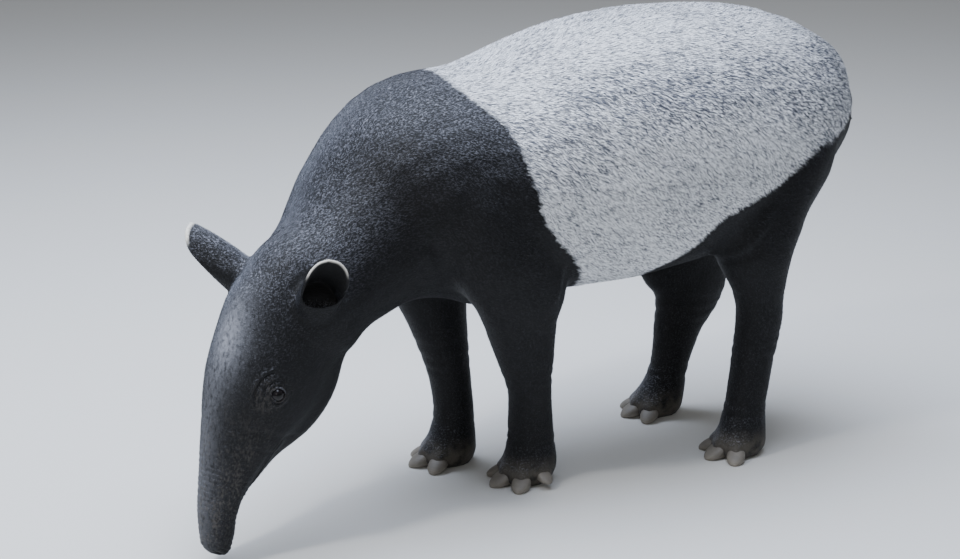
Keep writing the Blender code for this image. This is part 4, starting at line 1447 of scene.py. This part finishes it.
def horn_material():
    """Hoof horn: dull keratin that grew in layers, worn pale at the edge and in blotches."""
    options = settings("hoof")
    material, tree, shader = new_material("hoof_horn", {"Roughness": 0.55, "IOR": 1.54})
    add = partial(add_node, tree)
    place = add("ShaderNodeTexCoord").outputs["Object"]
    up = add("ShaderNodeSeparateXYZ", None, (place,)).outputs["Z"]
    # lines 2 mm apart, five times as long as they are high, and 11 mm blotches
    drawn = add("ShaderNodeMapping", None, {"Vector": place, "Scale": (0.2, 0.2, 1.0)})
    lines = add("ShaderNodeTexNoise", None, {"Vector": drawn, "Scale": 500, "Detail": 3.0})
    blotch = add("ShaderNodeTexNoise", None, {"Vector": place, "Scale": 90, "Detail": 4.0})
    low = add(RANGE, None, (up, HORN_WORN_BELOW, 0.0))
    share = add(MATH, {**MULTIPLY, "use_clamp": True}, (add(MATH, ADD, (low, blotch)), 0.6))
    colour = add(MIX, COLOURS, (share, linear(options.horn), linear(options.worn)))
    tree.links.new(first_output(colour), shader.inputs["Base Color"])
    bump = add("ShaderNodeBump", None, {"Strength": 0.5, "Distance": 0.0006, "Height": lines})
    tree.links.new(first_output(bump), shader.inputs["Normal"])
    return material


# Stage


def studio_light(name, place, aim, size, power, tint):
    light = bpy.data.lights.new(name, "AREA")
    light.shape = "RECTANGLE"
    light.size, light.size_y = size
    light.energy = power
    light.color = linear(tint)[:3]
    obj = put(name, light)
    obj.location = place
    obj.rotation_euler = (Vector(aim) - Vector(place)).to_track_quat("-Z", "Y").to_euler()
    return obj


class TAPIR_OT_stage(bpy.types.Operator):
    """Sets up the pale floor, the soft lights and the camera"""

    bl_idname = "tapir.stage"
    bl_label = "Stage"

    def execute(self, context):
        options = settings("stage")
        forms = bmesh.new()
        bmesh.ops.create_grid(forms, x_segments=1, y_segments=1, size=30)
        floor = put("floor", mesh_of("floor", forms))
        material, _, _ = new_material("matt_painted_floor", {
            "Base Color": linear(options.floor), "Roughness": 0.85})
        floor.data.materials.append(material)
        world = bpy.data.worlds.new("studio")
        context.scene.world = world
        world.use_nodes = True
        sky = world.node_tree.nodes["Background"]
        sky.inputs["Color"].default_value = linear(options.room)
        sky.inputs["Strength"].default_value = options.sky
        lights = [studio_light(name, place, aim, (size, size), getattr(options, power_name), tint)
                  for name, power_name, place, aim, size, tint in LIGHTS]
        self.camera(context)
        return {"FINISHED"}

    def camera(self, context):
        """Puts the camera where the photo was taken from, as the outline of the animal gives it."""
        turn, rise, roll = (math.radians(degrees) for degrees in CAMERA_ANGLES)
        back = Vector((math.sin(turn) * math.cos(rise), -math.cos(turn) * math.cos(rise), math.sin(rise)))
        right = (-back).cross(Vector((0, 0, 1))).normalized()
        over = right.cross(-back)
        right, over = (right * math.cos(roll) + over * math.sin(roll),
                       over * math.cos(roll) - right * math.sin(roll))
        lens = bpy.data.cameras.new("camera")
        lens.sensor_width = 36
        lens.lens = CAMERA_LENS
        lens.clip_start, lens.clip_end = 0.1, 100
        camera = put("camera", lens)
        turned = Matrix((right, over, back)).transposed().to_4x4()
        aim = ORIGIN + point(*CAMERA_AIM)
        camera.matrix_world = Matrix.Translation(aim + back * CAMERA_DISTANCE) @ turned
        context.scene.camera = camera


# Panel and registration


class TAPIR_PT_panel(bpy.types.Panel):
    """Lists the pieces of the tapir and their settings"""

    bl_idname = "TAPIR_PT_panel"
    bl_label = "Tapir"
    bl_space_type = "VIEW_3D"
    bl_region_type = "UI"
    bl_category = "Tapir"

    def draw(self, context):
        for operator, group in STEPS:
            box = self.layout.box()
            box.operator(operator.bl_idname)
            options = settings(group)
            for name in options.bl_rna.properties.keys():
                if name not in ("rna_type", "name"):
                    box.prop(options, name)


STEPS = [(TAPIR_OT_skin, "skin"), (TAPIR_OT_coat, "coat"), (TAPIR_OT_eyes, "eye"),
         (TAPIR_OT_hooves, "hoof"), (TAPIR_OT_stage, "stage")]
GROUPS = {"skin": TapirSkinSettings, "coat": TapirCoatSettings, "eye": TapirEyeSettings,
          "hoof": TapirHoofSettings, "stage": TapirStageSettings}


def register():
    for name, group in GROUPS.items():
        bpy.utils.register_class(group)
        setattr(bpy.types.Scene, "tapir_" + name, bpy.props.PointerProperty(type=group))
    for operator, _ in STEPS:
        bpy.utils.register_class(operator)
    bpy.utils.register_class(TAPIR_PT_panel)


def unregister():
    bpy.utils.unregister_class(TAPIR_PT_panel)
    for operator, _ in reversed(STEPS):
        bpy.utils.unregister_class(operator)
    for name, group in reversed(GROUPS.items()):
        delattr(bpy.types.Scene, "tapir_" + name)
        bpy.utils.unregister_class(group)


def main():
    register()
    for operation in (bpy.ops.tapir.skin, bpy.ops.tapir.coat, bpy.ops.tapir.eyes,
                      bpy.ops.tapir.hooves, bpy.ops.tapir.stage):
        operation()


if __name__ == "__main__":
    main()
